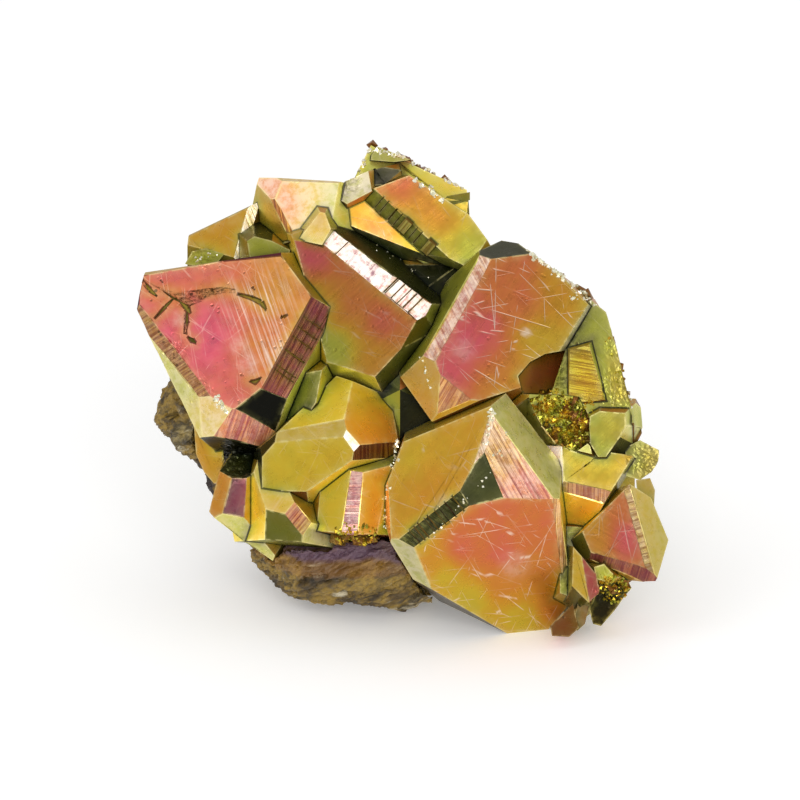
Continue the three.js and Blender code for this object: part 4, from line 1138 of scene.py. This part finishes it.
CORNERS = np.array([[1, 0, 0], [-1, 0, 0], [0, 1, 0], [0, -1, 0], [0, 0, 1], [0, 0, -1]], dtype=float)
SIDES = np.array([[0, 2, 4], [2, 1, 4], [1, 3, 4], [3, 0, 4], [2, 0, 5], [1, 2, 5], [3, 1, 5], [0, 3, 5]])


def crust_places(rng):
    """Where each tiny crystal is seen, its size, and whether it is a bead painted near white as a glint.
    """
    places = []
    for x, y, radius, count, size in CRUSTS:
        for _ in range(count):
            reach = radius * math.sqrt(rng.uniform())
            turn = rng.uniform(0, 2 * math.pi)
            places.append((x + reach * math.cos(turn), y + reach * math.sin(turn), size, 0.0))
    for row, count, size in BEADS:
        corners = np.array(row)
        ends = np.concatenate([[0], np.cumsum(np.hypot(*np.diff(corners, axis=0).T))])
        for share in rng.uniform(0, ends[-1], count):
            x = np.interp(share, ends, corners[:, 0]) + rng.normal() * BEAD_SCATTER
            y = np.interp(share, ends, corners[:, 1]) + rng.normal() * BEAD_SCATTER
            places.append((x, y, size, 1.0))
    return places


def dress_crust(tree, rng):
    """Tiny octahedra half sunk into what carries them, as one mesh."""
    points, triangles, tints = [], [], []
    for x, y, size, bead in crust_places(rng):
        spot, normal, *_ = tree.ray_cast(Vector(EYE), sight(x, y))
        axis = Vector(rng.normal(size=3)).normalized()
        spin = Matrix.Rotation(rng.uniform(0, 2 * math.pi), 3, axis)
        edge = size * rng.uniform(*TINY_SPREAD)
        if spot is None or (Vector(MIDDLE) - spot).dot(Vector(TO_EYE)) > CRUST_BACK:
            continue
        own = CORNERS @ np.array(spin).T * edge * HALF_DIAGONAL
        triangles.append(SIDES + len(CORNERS) * len(points))
        points.append(own + np.array(spot) - TINY_SUNK * edge * np.array(normal))
        # beads get a pale tint, a painted glint
        tints += [(bead * rng.uniform(*BEAD_GLINT), 0.0, 0.0, 1.0)] * (3 * len(SIDES))
    obj = mesh_of("crust", np.vstack(points), np.vstack(triangles))
    corner_colours(obj.data, "tint", np.array(tints))
    return obj


# The matrix


def even_copy(node):
    """A copy of the rock, named rock, with small triangles of one size."""
    obj = node.copy()
    obj.data = node.data.copy()
    obj.name = "rock"
    bpy.context.scene.collection.objects.link(obj)
    obj.data.transform(node.matrix_world)
    obj.matrix_world = Matrix.Identity(4)
    remesh = obj.modifiers.new("even", "REMESH")
    remesh.mode = "VOXEL"
    remesh.voxel_size = VOXEL * MM
    graph = bpy.context.evaluated_depsgraph_get()
    mesh = bpy.data.meshes.new_from_object(obj.evaluated_get(graph))
    obj.modifiers.clear()
    obj.data = mesh
    return obj


def vectors_of(vertices, name):
    """One vector of every vertex: its place, or its normal."""
    values = np.empty(len(vertices) * 3)
    vertices.foreach_get(name, values)
    return values.reshape(-1, 3)


def waves(place, pitch):
    """Noise at a place, with its own pitch along each axis."""
    return noise.noise(Vector((place.x * pitch[0], place.y * pitch[1], place.z * pitch[2])))


def rock_lift(grain):
    """How far the surface is moved out at a place that is turned along the splinters."""
    coarse = waves(grain, COARSE_PITCH)
    splinter = abs(waves(grain, SPLINTER_PITCH))
    small = waves(grain, SMALL_PITCH)
    ledge = math.floor((coarse + SMALL_SHARE * small) * LEDGES) / LEDGES
    sunk = LEDGE_DEPTH * abs(ledge - coarse) + SPLINTER_DEPTH * splinter + ALL_DEPTH
    return SMALL_HEIGHT * small - sunk


def dress_rock(node):
    """The matrix with its broken, ledged surface."""
    obj = even_copy(node)
    mesh = obj.data
    spots = vectors_of(mesh.vertices, "co") / MM
    normals = vectors_of(mesh.vertices, "normal")
    turned = Matrix.Rotation(SPLINTER_TILT, 3, "Y")
    lift = np.array([rock_lift(turned @ Vector(spot)) for spot in spots])
    spots += normals * lift[:, None] * (spots[:, 2:3] > RESTING)
    spots[:, 2] = np.maximum(spots[:, 2], 0.0)
    mesh.vertices.foreach_set("co", (spots * MM).astype(np.float32).ravel())
    mesh.update()
    return obj


# The scene

LAMP_AIM = Vector((0.0, 0.0, 0.02))  # metres, in the middle of the specimen


def make_camera():
    """A long lens at the photograph's angle, with the picture plane in its frame."""
    data = bpy.data.cameras.new("camera")
    data.sensor_width = SENSOR
    data.lens = SENSOR * EYE_DISTANCE / PICTURE_WIDTH
    data.clip_start = 0.01
    camera = placed("camera", data)
    axes = Matrix([RIGHT, UP, TO_EYE]).transposed().to_4x4()
    camera.matrix_world = Matrix.Translation(Vector(EYE * MM)) @ axes
    bpy.context.scene.camera = camera


def make_light(name, place, size, power):
    """A soft white lamp at a place, with its two sides, in metres."""
    data = bpy.data.lights.new(name, "AREA")
    data.shape = "RECTANGLE"
    data.size, data.size_y = size
    data.energy = power
    lamp = placed(name, data)
    lamp.location = place
    aim = LAMP_AIM - Vector(place)
    lamp.rotation_euler = aim.to_track_quat("-Z", "Y").to_euler()


def make_floor(reach):
    """A square floor that runs this many metres to each side."""
    mesh = bpy.data.meshes.new("floor")
    corners = [(-reach, -reach, 0), (reach, -reach, 0), (reach, reach, 0), (-reach, reach, 0)]
    mesh.from_pydata(corners, [], [(0, 1, 2, 3)])
    mesh.materials.append(floor_material())
    floor = placed("floor", mesh)


def make_surroundings():
    """White light from all sides, two lamps and the floor."""
    world = bpy.data.worlds.new("studio")
    world.use_nodes = True
    background = world.node_tree.nodes["Background"]
    background.inputs["Color"].default_value = (1.0, 1.0, 1.0, 1.0)
    background.inputs["Strength"].default_value = 0.72
    bpy.context.scene.world = world
    make_light("key", place=(-0.7, -0.4, 1.0), size=(0.8, 0.8), power=2.0)
    make_light("front", place=(0.1, -1.2, 0.6), size=(0.8, 0.6), power=8.0)
    make_floor(reach=3.0)
    bpy.context.scene.view_settings.view_transform = "Standard"


cluster = dress_cluster(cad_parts["crystal_cluster"])
cluster.data.materials.append(pyrite_material())
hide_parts("crystal_cluster")
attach(cluster, "root")

carrier = bmesh.new()
carrier.from_mesh(cluster.data)
bmesh.ops.scale(carrier, vec=(1 / MM,) * 3, verts=carrier.verts)
crust = dress_crust(BVHTree.FromBMesh(carrier), np.random.default_rng(CRUST_SEED))
carrier.free()
crust.data.materials.append(crust_material())
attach(crust, "root")

rock = dress_rock(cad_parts["matrix_rock"])
rock.data.materials.clear()
rock.data.materials.append(rock_material())
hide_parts("matrix_rock")
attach(rock, "root")

make_camera()
make_surroundings()
